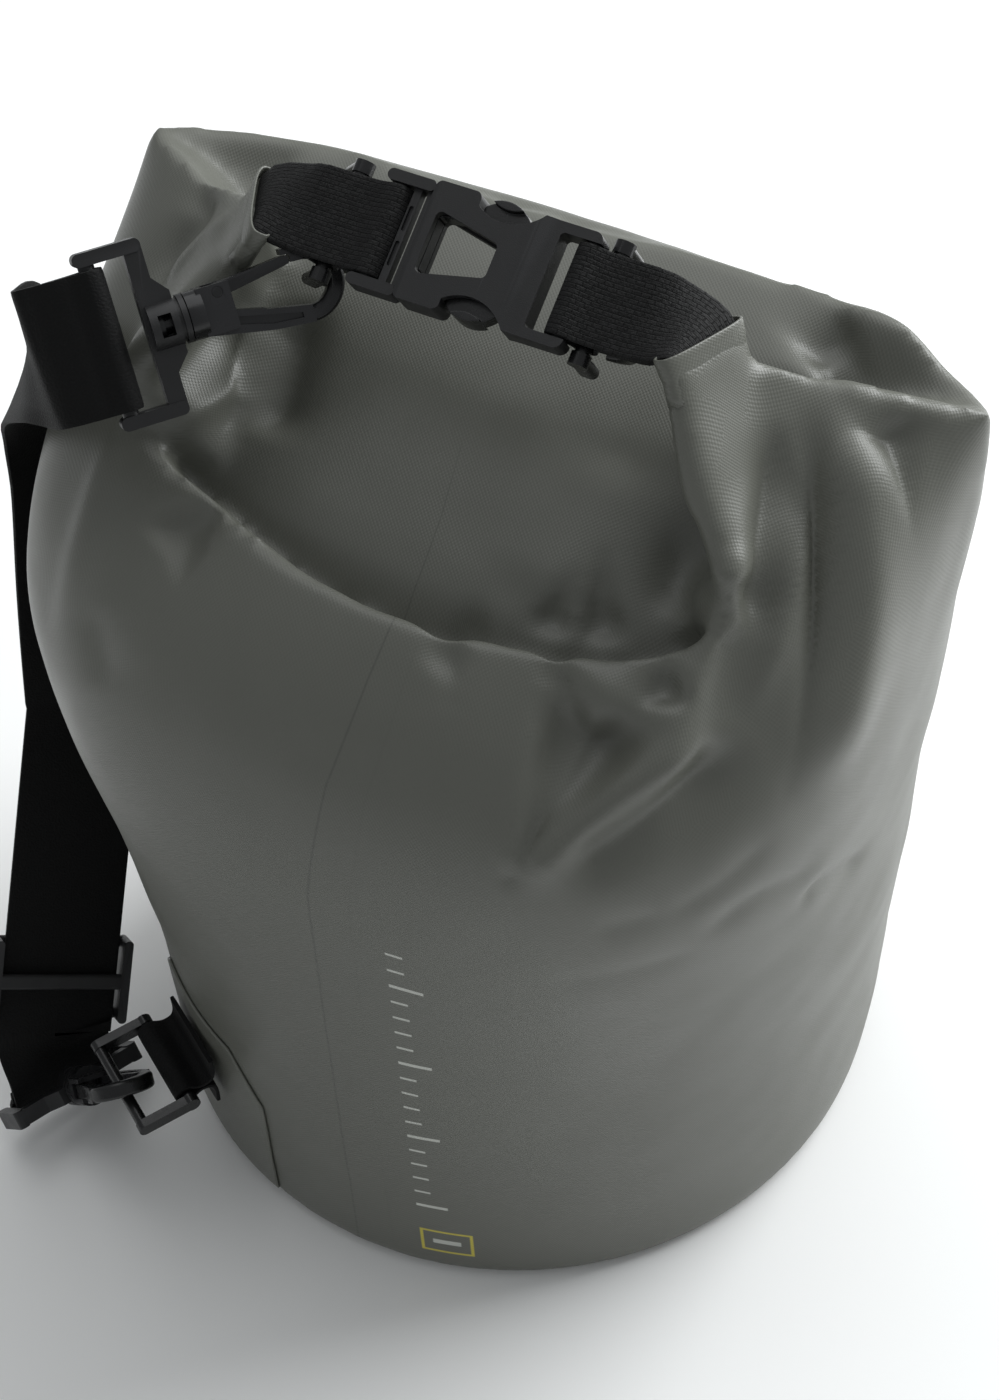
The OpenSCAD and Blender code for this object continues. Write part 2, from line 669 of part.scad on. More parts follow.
// Slider of the strap: two bars behind the strap and one before it
module strap_slider() {
    half = strap_w / 2 + 0.8;
    deck = strap_t / 2 + 0.5;
    color(plastic)
        aim(run_a + run_d * slider_at, run_d, run_w) {
            for (s = [-1, 1])
                translate([0, 0, -deck - 2.4])
                    linear_extrude(2 * deck + 4.8)
                        round_box([-14, s > 0 ? half : -half - 3], [14, s > 0 ? half + 3 : -half], 1.4);
            for (x = [-12.2, 12.2])
                translate([x, 0, -deck - 1.2])
                    rotate([90, 0, 0])
                        linear_extrude(2 * half + 2, center = true)
                            round_box([-1.8, -1.2], [1.8, 1.2], 1.1);
            translate([0, 0, deck + 1.2])
                rotate([90, 0, 0])
                    linear_extrude(2 * half + 2, center = true)
                        round_box([-2.6, -1.2], [2.6, 1.2], 1.1);
        }
}

// Lower anchor: welded patch, webbing loop and moulded ring
patch_r = body_r + 1.4;
anchor_w = 29;
module anchor_patch() {
    color(pvc)
        intersection() {
            difference() {
                cylinder(h = 100, r = patch_r + 0.9, $fn = 96);
                translate([0, 0, -1])
                    cylinder(h = 102, r = patch_r, $fn = 96);
            }
            rotate([0, 0, anchor_a])
                translate([body_r / 2, 0, 0])
                    rotate([90, 0, 90])
                        linear_extrude(body_r)
                            polygon([[-34, 6], [34, 6], [34, 54], [20, 72], [-20, 72], [-34, 54]]);
        }
}
module anchor_loop() {
    foot = body_r + 13 - patch_r - 1.1;
    color(webbing)
        aim(anchor_bar, anchor_out, anchor_side)
            rotate([90, 0, 0])
                linear_extrude(anchor_w, center = true)
                    difference() {
                        union() {
                            circle(loop_r + ply);
                            translate([-foot, -ply])
                                square([foot, 2 * ply]);
                            translate([-foot, -11])
                                square([1.6, 22]);
                        }
                        circle(loop_r);
                    }
}
module anchor_ring() {
    half = anchor_half;
    color(plastic)
        aim(anchor_bar, anchor_leg, anchor_side) {
            rotate([90, 0, 0])
                cylinder(h = 2 * half + 1, r = bar_r, center = true);
            for (s = [-1, 1]) {
                translate([0, s * (half + 1.6), 0])
                    rotate([90, 0, 0])
                        cylinder(h = 3.2, r = 2.6, center = true);
                translate([0, s > 0 ? half : -half - 3.2, -2.2])
                    cube([anchor_deep + bow_r, 3.2, 4.4]);
                translate([anchor_deep + bow_r, s * (half + 1.6), 0])
                    rotate([90, 0, 0])
                        cylinder(h = 3.2, r = 2.2, center = true);
            }
            translate([anchor_deep + bow_r, 0, 0])
                rotate([90, 0, 0])
                    cylinder(h = 2 * half + 1, r = bow_r, center = true);
        }
}

body_tube();
base_disc();
rolled_top();
mouth_stiffener();
closure_webbing_left();
closure_webbing_right();
buckle_female();
buckle_male();
buckle_arm_front();
buckle_arm_back();
d_ring_left();
d_ring_right();
upper_hook();
upper_hook_gate();
upper_strap_frame();
shoulder_strap();
strap_slider();
lower_strap_frame();
lower_hook();
lower_hook_gate();
anchor_ring();
anchor_loop();
anchor_patch();
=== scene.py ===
# %% [markdown]
# # A roll-top dry bag
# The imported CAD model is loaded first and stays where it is. It is the skeleton: every piece made below
# sits where a CAD node says, and takes the node's place or dresses it. Lengths are in metres in the file
# and in millimetres in the shape tables, because a bag maker thinks in millimetres.

# %% Load the frame
import json
import math
import bmesh
import bpy
import numpy as np
from mathutils import Matrix, Vector, noise
from mathutils.bvhtree import BVHTree


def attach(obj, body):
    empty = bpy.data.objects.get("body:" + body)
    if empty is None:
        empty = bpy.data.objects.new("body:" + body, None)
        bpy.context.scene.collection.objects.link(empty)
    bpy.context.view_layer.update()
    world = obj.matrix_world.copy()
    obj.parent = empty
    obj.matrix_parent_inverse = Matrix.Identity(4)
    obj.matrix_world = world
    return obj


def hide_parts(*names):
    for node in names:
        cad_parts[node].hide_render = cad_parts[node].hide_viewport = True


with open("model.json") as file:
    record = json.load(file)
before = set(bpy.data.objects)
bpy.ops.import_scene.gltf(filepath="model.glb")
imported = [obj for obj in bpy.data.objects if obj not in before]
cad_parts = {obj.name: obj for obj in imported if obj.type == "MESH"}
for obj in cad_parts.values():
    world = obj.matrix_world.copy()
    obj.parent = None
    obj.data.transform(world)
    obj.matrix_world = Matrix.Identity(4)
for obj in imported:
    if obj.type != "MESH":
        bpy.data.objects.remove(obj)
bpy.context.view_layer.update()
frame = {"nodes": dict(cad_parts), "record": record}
MM = 0.001
PHOTO = (1000, 1400)
LENS, SENSOR = 76.29, 36.0
CAMERA_PLACE = Vector((0.2931, -0.4990, 0.8384))
CAMERA_RIGHT = Vector((0.886, 0.4617, -0.0449)).normalized()
CAMERA_UP = Vector((-0.3288, 0.6933, 0.641)).normalized()
CAMERA_BACK = CAMERA_RIGHT.cross(CAMERA_UP)


# %% [markdown]
# ## Small helpers
# Colours are written as the hex values that a colour picker shows, so one function turns them into the
# linear numbers that Blender's shaders need. A second function adds a node with its settings and links.
# Keeping both tiny makes each material below read as a list of what the surface does.

# %% Colour and node helpers
def linear(code):
    """Hex sRGB colour to linear RGBA."""
    values = [int(code[i:i + 2], 16) / 255 for i in (1, 3, 5)]
    return [v / 12.92 if v <= 0.04045 else ((v + 0.055) / 1.055) ** 2.4 for v in values] + [1.0]


def add(tree, kind, settings=None, links=None):
    """Adds one node: settings are attributes or socket values, links are {socket: output socket}."""
    node = tree.nodes.new(kind)
    for key, value in (settings or {}).items():
        if isinstance(key, str) and hasattr(node, key):
            setattr(node, key, value)
        else:
            node.inputs[key].default_value = value
    for key, output in (links or {}).items():
        tree.links.new(output, node.inputs[key])
    return node


def new_material(name, base, roughness, ior):
    """A material with its Principled shader set to the real material's starting values."""
    material = bpy.data.materials.new(name)
    material.use_nodes = True
    shader = material.node_tree.nodes["Principled BSDF"]
    shader.inputs["Base Color"].default_value = linear(base)
    shader.inputs["Roughness"].default_value = roughness
    shader.inputs["IOR"].default_value = ior
    material.diffuse_color = linear(base)
    return material, material.node_tree, shader


print("a picker's mid grey is", round(linear("#808080")[0], 3), "in linear light")


# %% [markdown]
# ## Seam and print
# A welded strip and a row of stitch holes mark the front seam, and a plain scale is printed beside it. Ink and
# a weld have next to no thickness, so they are masks on the UV map of the unrolled wall and not thin solids.
# A mask is 1 inside its span and 0 outside, with a soft edge.

# %% Masks for the seam and the print
# The printing, measured round the wall from the front seam and up from the floor.
WALL_LOW, WALL_TOP, STRIP_W = -10 * MM, 277 * MM, 12.5 * MM
SEAM_HALF, HOLE_PITCH, HOLE_HALF = 0.35 * MM, 3.2 * MM, 0.9 * MM
SCALE_U, SCALE_LOW, SCALE_HIGH = 22.5 * MM, 38.5 * MM, 181.5 * MM
# Pitch, half height and length of the strokes.
SHORT_TICK, LONG_TICK = (8 * MM, 0.5 * MM, 5 * MM), (40 * MM, 0.7 * MM, 10 * MM)
FRAME_W, FRAME_H, FRAME_LOW, FRAME_LINE = 17 * MM, 13 * MM, 12.5 * MM, 1 * MM
DASH_W, DASH_H = 9 * MM, 2.4 * MM


def seam_and_print(tree, colour, level):
    """The colour and height of the fabric, with the welded seam and the printed scale added."""
    wrap = add(tree, "ShaderNodeUVMap", {"uv_map": "wrap"})
    around = add(tree, "ShaderNodeSeparateXYZ", None, {0: wrap.outputs[0]})
    u, v = around.outputs["X"], around.outputs["Y"]

    def between(value, low, high, edge=0.25 * MM):
        """1 where value lies between low and high, with soft edges."""
        middle, half = (low + high) / 2, (high - low) / 2
        shift = add(tree, "ShaderNodeMath", {"operation": "SUBTRACT", 1: middle}, {0: value})
        size = add(tree, "ShaderNodeMath", {"operation": "ABSOLUTE"}, {0: shift.outputs[0]})
        return add(tree, "ShaderNodeMapRange", {"From Min": half + edge, "From Max": half - edge},
                   {"Value": size.outputs[0]}).outputs[0]

    def combine(kind, a, b):
        return add(tree, "ShaderNodeMath", {"operation": kind}, {0: a, 1: b}).outputs[0]

    def repeat(value, pitch):
        """The same value again every pitch, measured from the middle of each step."""
        step = add(tree, "ShaderNodeMath", {"operation": "WRAP", 1: pitch / 2, 2: -pitch / 2}, {0: value})
        return step.outputs[0]

    def box(left, low, wide, high):
        """1 inside a rectangle of the unrolled wall."""
        return combine("MULTIPLY", between(u, left, left + wide, 0.2 * MM),
                       between(v, low, low + high, 0.2 * MM))

    def tick_marks(pitch, half, length):
        """Strokes of the scale, one every pitch."""
        zone = combine("MULTIPLY", between(v, SCALE_LOW, SCALE_HIGH),
                       between(u, SCALE_U, SCALE_U + length, 0.15 * MM))
        return combine("MULTIPLY", between(repeat(v, pitch), -half, half, 0.15 * MM), zone)

    wall_zone = between(v, WALL_LOW, WALL_TOP)
    seam = combine("MULTIPLY", between(u, -SEAM_HALF, SEAM_HALF), wall_zone)
    holes = combine("MULTIPLY", seam, between(repeat(v, HOLE_PITCH), -HOLE_HALF, HOLE_HALF))
    band = combine("MULTIPLY", between(u, 0.6 * MM, STRIP_W, 0.6 * MM), wall_zone)
    edge = combine("MULTIPLY", between(u, STRIP_W - 0.2 * MM, STRIP_W + 0.6 * MM), wall_zone)
    ticks = combine("MAXIMUM", tick_marks(*SHORT_TICK), tick_marks(*LONG_TICK))
    outer = box(SCALE_U, FRAME_LOW, FRAME_W, FRAME_H)
    inner = box(SCALE_U + FRAME_LINE, FRAME_LOW + FRAME_LINE,
                FRAME_W - 2 * FRAME_LINE, FRAME_H - 2 * FRAME_LINE)
    label = combine("SUBTRACT", outer, inner)
    bar = box(SCALE_U + (FRAME_W - DASH_W) / 2, FRAME_LOW + (FRAME_H - DASH_H) / 2, DASH_W, DASH_H)
    for mask, code, amount in ((seam, "#474843", 0.55), (edge, "#55564f", 0.18), (ticks, "#c9cbc4", 0.85),
                               (bar, "#c9cbc4", 0.85), (label, "#c8bb45", 0.95)):
        strength = add(tree, "ShaderNodeMath", {"operation": "MULTIPLY", 1: amount}, {0: mask})
        colour = add(tree, "ShaderNodeMix", {"data_type": "RGBA", 7: linear(code)},
                     {0: strength.outputs[0], 6: colour}).outputs[2]
    for mask, amount in ((seam, -1.6), (holes, -2.2), (band, 0.8), (edge, -0.4)):
        level = add(tree, "ShaderNodeMath", {"operation": "MULTIPLY_ADD", 1: amount},
                    {0: mask, 2: level}).outputs[0]
    return colour, level


print("printed scale:", round((SCALE_HIGH - SCALE_LOW) / MM), "mm high")


# %% [markdown]
# ## Coated fabric
# The bag is PVC tarpaulin: a polyester scrim dipped in soft PVC. The coating gives a satin shine, and the
# scrim's threads still show through as a fine grid of bumps, about 1.1 mm apart. The grid is made from two
# sine waves on the piece's own UV map, which is laid out in metres, so that the threads follow the wall.
# Large soft noise changes the gloss a little, as handled PVC does.

# %% Coated fabric material
THREAD = 1.15 * MM
# Noise in steps per metre: gloss clouds of about 45 mm and pimples of about 1.1 mm.
CLOUDS, PIMPLES = 22.0, 900.0


def tarpaulin(name, printed):
    material, tree, shader = new_material(name, "#5e5f58", 0.4, 1.53)
    weave_uv = add(tree, "ShaderNodeUVMap", {"uv_map": "threads"})
    split = add(tree, "ShaderNodeSeparateXYZ", None, {0: weave_uv.outputs[0]})
    waves = []
    for axis in ("X", "Y"):
        turn = add(tree, "ShaderNodeMath", {"operation": "MULTIPLY", 1: 2 * math.pi / THREAD},
                   {0: split.outputs[axis]})
        waves.append(add(tree, "ShaderNodeMath", {"operation": "SINE"}, {0: turn.outputs[0]}))
    weave = add(tree, "ShaderNodeMath", {"operation": "MULTIPLY"},
                {0: waves[0].outputs[0], 1: waves[1].outputs[0]})
    place = add(tree, "ShaderNodeTexCoord")
    cloudy = add(tree, "ShaderNodeTexNoise", {"Scale": CLOUDS, "Detail": 3.0, "Roughness": 0.55},
                 {"Vector": place.outputs["Object"]})
    fine = add(tree, "ShaderNodeTexNoise", {"Scale": PIMPLES, "Detail": 2.0},
               {"Vector": place.outputs["Object"]})
    gloss = add(tree, "ShaderNodeMapRange", {"From Min": 0.3, "From Max": 0.7, "To Min": 0.36, "To Max": 0.47},
                {"Value": cloudy.outputs["Fac"]})
    tree.links.new(gloss.outputs[0], shader.inputs["Roughness"])
    tone = add(tree, "ShaderNodeMix", {"data_type": "RGBA", 6: linear("#595a53"), 7: linear("#63645d")},
               {0: cloudy.outputs["Fac"]})
    colour = tone.outputs[2]
    height = add(tree, "ShaderNodeMath", {"operation": "MULTIPLY_ADD", 1: 0.35},
                 {0: fine.outputs["Fac"], 2: weave.outputs[0]})
    level = height.outputs[0]
    if printed:
        colour, level = seam_and_print(tree, colour, level)
    tree.links.new(colour, shader.inputs["Base Color"])
    bump = add(tree, "ShaderNodeBump", {"Strength": 0.15, "Distance": 0.2 * MM}, {"Height": level})
    tree.links.new(bump.outputs[0], shader.inputs["Normal"])
    return material


pvc_wall = tarpaulin("pvc_tarpaulin_printed", True)
pvc_plain = tarpaulin("pvc_tarpaulin_plain", False)
print("fabric materials:", pvc_wall.name, pvc_plain.name)


# %% [markdown]
# ## Webbing
# Both straps are black polyester webbing. The closure webbing is a coarse basket weave whose threads show
# as short staggered dashes, about 2.6 by 1.2 mm. The shoulder strap is a finer rib weave with one rib every
# 1.1 mm along it. Both patterns read the strap's UV map, which runs along the strap in metres, so they
# bend with it. A sheen on the shader gives the dusty edge that woven fibre has.

# %% Webbing materials
# Noise in steps per metre: fibre fuzz of about 0.7 mm.
FUZZ = 1400.0


def woven(name, base, light, dash, row, depth):
    material, tree, shader = new_material(name, base, 0.72, 1.5)
    shader.inputs["Specular IOR Level"].default_value = 0.22
    shader.inputs["Sheen Weight"].default_value = 0.03
    shader.inputs["Sheen Roughness"].default_value = 0.5
    along_strap = add(tree, "ShaderNodeUVMap", {"uv_map": "threads"})
    threads = add(tree, "ShaderNodeTexBrick",
                  {"offset": 0.5, "Scale": 1.0, "Mortar Size": row * 0.16, "Mortar Smooth": 1.0,
                   "Brick Width": dash, "Row Height": row, "Color1": linear(base),
                   "Color2": linear(light), "Mortar": linear("#020202")},
                  {"Vector": along_strap.outputs[0]})
    fuzz = add(tree, "ShaderNodeTexNoise", {"Scale": FUZZ, "Detail": 2.0},
               {"Vector": along_strap.outputs[0]})
    dull = add(tree, "ShaderNodeMapRange", {"To Min": 0.58, "To Max": 0.85}, {"Value": fuzz.outputs["Fac"]})
    tree.links.new(threads.outputs["Color"], shader.inputs["Base Color"])
    tree.links.new(dull.outputs[0], shader.inputs["Roughness"])
    raised = add(tree, "ShaderNodeMath", {"operation": "SUBTRACT"},
                 {0: fuzz.outputs["Fac"], 1: threads.outputs["Fac"]})
    bump = add(tree, "ShaderNodeBump", {"Strength": 0.75, "Distance": depth}, {"Height": raised.outputs[0]})
    tree.links.new(bump.outputs[0], shader.inputs["Normal"])
    return material


basket_webbing = woven("polyester_basket_webbing", "#0c0c0c", "#191919", 2.6 * MM, 1.25 * MM, 0.5 * MM)
rib_webbing = woven("polyester_rib_webbing", "#0a0a0a", "#111111", 1.1 * MM, 38 * MM, 0.3 * MM)
print("webbing materials:", basket_webbing.name, rib_webbing.name)


# %% [markdown]
# ## Moulded plastic
# The buckle, rings, hooks and frames are injection-moulded acetal. The mould is spark-eroded, so the faces
# carry a grain of about 0.3 mm and stay matt, while edges that rub go a little lighter. The arms of the
# buckle, the rings and the hooks come from polished moulds, so they get their own glossier version.

# %% Plastic materials
# Noise in steps per metre: mould grain of about 0.3 mm and worn patches of about 6 mm.
GRAIN, WORN = 3200.0, 160.0


def acetal(name, base, rough, grain):
    material, tree, shader = new_material(name, base, rough, 1.48)
    place = add(tree, "ShaderNodeTexCoord")
    spark = add(tree, "ShaderNodeTexNoise", {"Scale": GRAIN, "Detail": 2.0, "Roughness": 0.6},
                {"Vector": place.outputs["Object"]})
    wear = add(tree, "ShaderNodeTexNoise", {"Scale": WORN, "Detail": 4.0}, {"Vector": place.outputs["Object"]})
    gloss = add(tree, "ShaderNodeMapRange", {"From Min": 0.3, "From Max": 0.7, "To Min": rough - 0.07,
                                             "To Max": rough + 0.07}, {"Value": wear.outputs["Fac"]})
    tree.links.new(gloss.outputs[0], shader.inputs["Roughness"])
    surface = add(tree, "ShaderNodeNewGeometry")
    rubbed = add(tree, "ShaderNodeMapRange", {"From Min": 0.52, "From Max": 0.62, "To Min": 0.0, "To Max": 0.5},
                 {"Value": surface.outputs["Pointiness"]})
    tone = add(tree, "ShaderNodeMix", {"data_type": "RGBA", 6: linear(base), 7: linear("#2a2a2c")},
               {0: rubbed.outputs[0]})
    tree.links.new(tone.outputs[2], shader.inputs["Base Color"])
    bump = add(tree, "ShaderNodeBump", {"Strength": grain, "Distance": 0.08 * MM},
               {"Height": spark.outputs["Fac"]})
    tree.links.new(bump.outputs[0], shader.inputs["Normal"])
    return material


matt_acetal = acetal("acetal_spark_textured", "#131314", 0.46, 0.5)
gloss_acetal = acetal("acetal_polished", "#0e0e0f", 0.27, 0.15)
print("plastic materials:", matt_acetal.name, gloss_acetal.name)


# %% [markdown]
# ## The bag's outside as a loft
# The bag is one welded tube of fabric. Its foot is round, the top is drawn out to two side corners, and the
# rolled mouth bends up at both ends. A loft describes that well: rings are stacked up the wall and over the
# roof, and each ring is extruded to the next. Six plain forms are lofted here: the wall with its
# roof, the two upturned ends of the roll, two side gussets and the roof sheet. They are fused later, which is
# easier than one net that does everything.

# %% Curve helpers
def soft(u):
    """Eases from 0 to 1."""
    k = np.clip(u, 0, 1)
    return k * k * (3 - 2 * k)


def table(t, *pairs):
    """The value at t, read straight between pairs of place and value."""
    return float(np.interp(t, [p[0] for p in pairs], [p[1] for p in pairs]))


def power(value, exponent):
    """A power that keeps the sign."""
    return math.copysign(abs(value) ** exponent, value)


def across(direction, tangent):
    """The part of a direction that is square to the tangent, as a unit vector."""
    direction = Vector(direction)
    return (direction - tangent * direction.dot(tangent)).normalized()


def smooth_path(knots, steps):
    """A curve through the knots, steps points to each span."""
    knots = [Vector(k) for k in knots]
    last = len(knots) - 1
    path = []
    for i in range(last):
        a, b, c, d = knots[max(0, i - 1)], knots[i], knots[i + 1], knots[min(last, i + 2)]
        for j in range(steps):
            u = j / steps
            point = 2 * b + (c - a) * u
            point += (2 * a - 5 * b + 4 * c - d) * u * u
            point += (3 * b - a - 3 * c + d) * u ** 3
            path.append(0.5 * point)
    return path + [knots[last]]


print("a quarter of the way, soft() has climbed to", round(float(soft(0.25)), 3))


# %% Loft helpers
def loft(bm, rings, capped=True):
    """Extrudes a closed ring from one place to the next. Returns the list of rings of vertices."""
    first = bmesh.ops.create_circle(bm, cap_ends=False, segments=len(rings[0]), radius=1.0)["verts"]
    for vert, place in zip(first, rings[0]):
        vert.co = place
    stack = [first]
    for ring in rings[1:]:
        below = stack[-1]
        edges = [bm.edges.get((below[i - 1], below[i])) for i in range(len(below))]
        grown = bmesh.ops.extrude_edge_only(bm, edges=edges)["geom"]
        fresh = {v for v in grown if isinstance(v, bmesh.types.BMVert)}
        above = [next(e.other_vert(v) for e in v.link_edges if e.other_vert(v) in fresh) for v in below]
        for vert, place in zip(above, ring):
            vert.co = place
        stack.append(above)
    if capped:
        for ring in (stack[0], stack[-1]):
            bmesh.ops.contextual_create(bm, geom=ring)
    return stack


def piece(name, bm, materials, body="bag", smooth=True):
    """Turns a bmesh in metres into an object that rides on a body."""
    mesh = bpy.data.meshes.new(name)
    bm.to_mesh(mesh)
    bm.free()
    obj = bpy.data.objects.new(name, mesh)
    bpy.context.scene.collection.objects.link(obj)
    for material in materials:
        mesh.materials.append(material)
    mesh.polygons.foreach_set("use_smooth", [smooth] * len(mesh.polygons))
    if body:
        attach(obj, body)
    return obj


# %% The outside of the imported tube, in millimetres
BODY_R, EAR_X, EAR_Z, CREST_Z, BUCKLE_Z = 115.0, 129.5, 303.0, 266.0, 329.0
FRONT_Y, BACK_Y, EAR_Y, BACK_DROP = 78, 56, 27, 6
FAR_BULGE, FAR_BULGE_AT, FAR_BULGE_W = 9.0, 44.0, 11


def bell(value, middle, width):
    """1 at the middle, fading away on both sides."""
    return math.exp(-((value - middle) / width) ** 2)


def angle_bell(a, middle, width):
    """A bell round an angle in degrees."""
    return bell((math.degrees(a) - middle + 180) % 360, 180, width)


def skin(t, a):
    """Outside of the bag: t climbs the wall from 0 to 1 and crosses the roof from 1 to 1.6, a is the angle."""
    c, s = math.cos(a), math.sin(a)
    front = s < 0
    rise = max(0, (t - 0.62) / 0.38)
    if t < 1:
        half = BODY_R + (EAR_X - BODY_R) * soft((t - 0.12) / 0.62)
        fore = BODY_R - (BODY_R - FRONT_Y) * rise ** 2.2
        back = BODY_R - (BODY_R - BACK_Y) * rise ** 1.8
        mid = EAR_Y * soft((t - 0.5) / 0.5)
        front_z = CREST_Z * table(t, (0, 0), (0.62, 0.657), (0.75, 0.79), (0.85, 0.89), (0.93, 0.962), (1, 1))
        side_z, back_z = EAR_Z * t, (EAR_Z - BACK_DROP) * t
    else:
        half = EAR_X - table(t, (1, 0), (1.2, 12), (1.4, 34), (1.6, 68))
        fore = table(t, (1, FRONT_Y), (1.08, 68), (1.2, 59), (1.42, 24), (1.6, 4))
        back = table(t, (1, BACK_Y), (1.2, 42), (1.4, 26), (1.6, 6))
        mid = table(t, (1, EAR_Y), (1.2, 21), (1.4, 10), (1.6, 0))
        front_z = CREST_Z - table(t, (1, 0), (1.08, 5), (1.2, 23), (1.42, 21), (1.6, CREST_Z - EAR_Z + 18))
        side_z = EAR_Z - table(t, (1, 0), (1.2, 0), (1.4, 4), (1.6, 16))
        back_z = EAR_Z - table(t, (1, BACK_DROP), (1.2, 3), (1.4, 4), (1.6, 16))
    full = table(t, (0, 1), (0.3, 1), (0.5, 0.94), (0.7, 0.84), (0.82, 0.84), (1, 1.3), (1.6, 1.3))
    if front:
        full -= 0.09 * soft((t - 0.4) / 0.3) * soft((1 - t) / 0.15)
    lift = abs(s) ** (1 + ((0.38 if front else 0.6) - 1) * soft((t - 0.6) / 0.4))
    x = half * power(c, min(1, full)) + 4.5 * soft((t - 0.5) / 0.5)
    y = mid + ((fore + mid) if front else (back - mid)) * power(s, full)
    z = side_z + ((front_z if front else back_z) - side_z) * lift
    if c < 0:
        y += 9 * abs(c) ** 1.5 * soft((t - 0.5) / 0.5) * table(t, (1, 1), (1.4, 0))
    if not front and t >= 0.7:
        far = FAR_BULGE * angle_bell(a, FAR_BULGE_AT, FAR_BULGE_W) * float(soft((t - 0.7) / 0.3))
        z += far * table(t, (1, 1), (1.3, 0))
    swell = 0.0
    if t < 1:
        low = 4.5 * bell(z, 95, 50) + 4 * bell(z, 40, 35) - 4 * bell(z, 225, 38)
        swell = angle_bell(a, 206, 26) * 6 * bell(z, 222, 40) + angle_bell(a, 30, 45) * low
    return Vector((x + swell * c, y + swell * s, z))


print("front crest at", round(skin(1, math.radians(-90)).z), "mm, ears at", EAR_Z, "mm")


# %% [markdown]
# ## Rim, roll, gussets and roof sheet
# The bag's upper edge is no plain curve: from each ear it climbs the gusset to the mouth, drops beside the
# mouth and runs along the front crest. So the rim is a table of places by angle, and the wall bends over to it
# from the shoulder. The roll is a flat tube along a line that rises to the mouth at both ends, and the gussets
# and the roof sheet are slices between a few lines.

# %% The wall and its rim
# Each row is an angle in degrees and x, y, z in mm.
LEFT_RIDGE = [(-180, -125, 36, 303), (-173, -120, 32, 303.5), (-166, -113, 27.5, 304.5), (-158, -105, 23, 306),
              (-150, -95, 17.5, 308.5), (-143, -85, 12, 312), (-138, -77, 8, 315), (-133, -73, 3, 316)]
LEFT_FOLD = [(-131, -79, -6, 310), (-129, -85, -18, 298), (-127, -87, -30, 283), (-124, -84, -40, 273)]
CREST = [(-120, -73, -50, 270), (-114, -57, -55, 268), (-108, -40, -62, 267), (-100, -19, -68.5, 266),
         (-90, 4.5, -71.5, 266), (-80, 28, -70, 266), (-72, 52, -65, 266), (-66, 72, -59, 267),
         (-62, 82, -54, 270), (-60, 88, -50, 273), (-58, 92, -46, 277)]
RIGHT_FOLD = [(-55.5, 93, -40, 281), (-53, 91, -30, 288), (-51, 86, -18, 298), (-49, 80, -6, 310)]
RIGHT_RIDGE = [(-47, 77, 3, 315), (-43, 81, 7, 315), (-38, 89, 11, 312), (-32, 98, 14.5, 309.5),
               (-24, 108, 18, 307.5), (-16, 117, 21, 305.5), (-8, 126, 24, 304), (0, 134, 27, 303)]
RIM = LEFT_RIDGE + LEFT_FOLD + CREST + RIGHT_FOLD + RIGHT_RIDGE
SHOULDER = 0.7


def rim(a):
    """The upper edge of the wall at an angle."""
    degrees = math.degrees(a)
    if degrees > 0:
        return skin(1, a)
    return Vector([table(degrees, *[(row[0], row[k]) for row in RIM]) for k in (1, 2, 3)])


def wall(t, a):
    """The wall follows skin() up to the shoulder and then bends over to the rim."""
    if a > 0 or t <= SHOULDER:
        return skin(t, a)
    foot, top = skin(SHOULDER, a), rim(a)
    turn = foot + (foot - skin(SHOULDER - 0.05, a)) * 3.3
    w = (t - SHOULDER) / (1 - SHOULDER)
    return foot * (1 - w) ** 2 + turn * 2 * w * (1 - w) + top * w ** 2


def roof_core(u, a):
    """From the rim inwards: steep behind the front crest, nearly level behind the far ridge."""
    edge = rim(a)
    heart = Vector((edge.x * 0.5, 0.4 * edge.y - 8, 238))
    level = float(soft((math.sin(a) + 0.05) / 0.25))
    fall = min(1, 3.6 * u) * (1 - level) + level * (0.14 * soft(u / 0.3) + 0.86 * soft((u - 0.3) / 0.7))
    inner = edge.lerp(heart, u)
    return Vector((inner.x, inner.y, edge.z - (edge.z - heart.z) * float(fall)))


def wall_rings():
    count = 240
    angles = [math.radians(-180 + 360 * (j + 0.5) / count) for j in range(count)]
    rings = []
    for drop, inset in ((0, 5.0), (0.6, 2.4), (2.2, 0.7), (5, 0.0)):
        rings.append([Vector((p.x * (1 - inset / BODY_R), p.y * (1 - inset / BODY_R), drop)) for p in
                      (skin(0, a) for a in angles)])
    for t in list(np.linspace(0.035, 0.985, 50)) + [1.0]:
        rings.append([wall(t, a) for a in angles])
    for u in (0.03, 0.08, 0.16, 0.25, 0.35, 0.45, 0.6, 0.8, 1.0):
        rings.append([roof_core(u, a) for a in angles])
    return rings


print("rim points:", len(RIM))


# %% The roll line and its two ends
MOUTH_L, MOUTH_R = Vector((-61, -3, BUCKLE_Z - 3)), Vector((65, -4, BUCKLE_Z - 2))
bow_l = [MOUTH_L, MOUTH_L + Vector((-7, -5, -14)), (-77, -16, EAR_Z - 5), (-85, -25, EAR_Z - 23)]
bow_r = [(91, -25, EAR_Z - 23), (80, -17, EAR_Z - 5), MOUTH_R + Vector((7, -5, -14)), MOUTH_R]
hidden = [skin(1.31, math.radians(a)) + Vector((0, 0, 8)) for a in range(-130, -49, 10)]
roll_line = smooth_path(bow_l + hidden + bow_r, 6)
ROLL_HALF_W, ROLL_HALF_T, ROLL_SWELL_W, ROLL_SWELL_T, ROLL_STEPS = 14.9, 3.8, 3.5, 3.2, 18


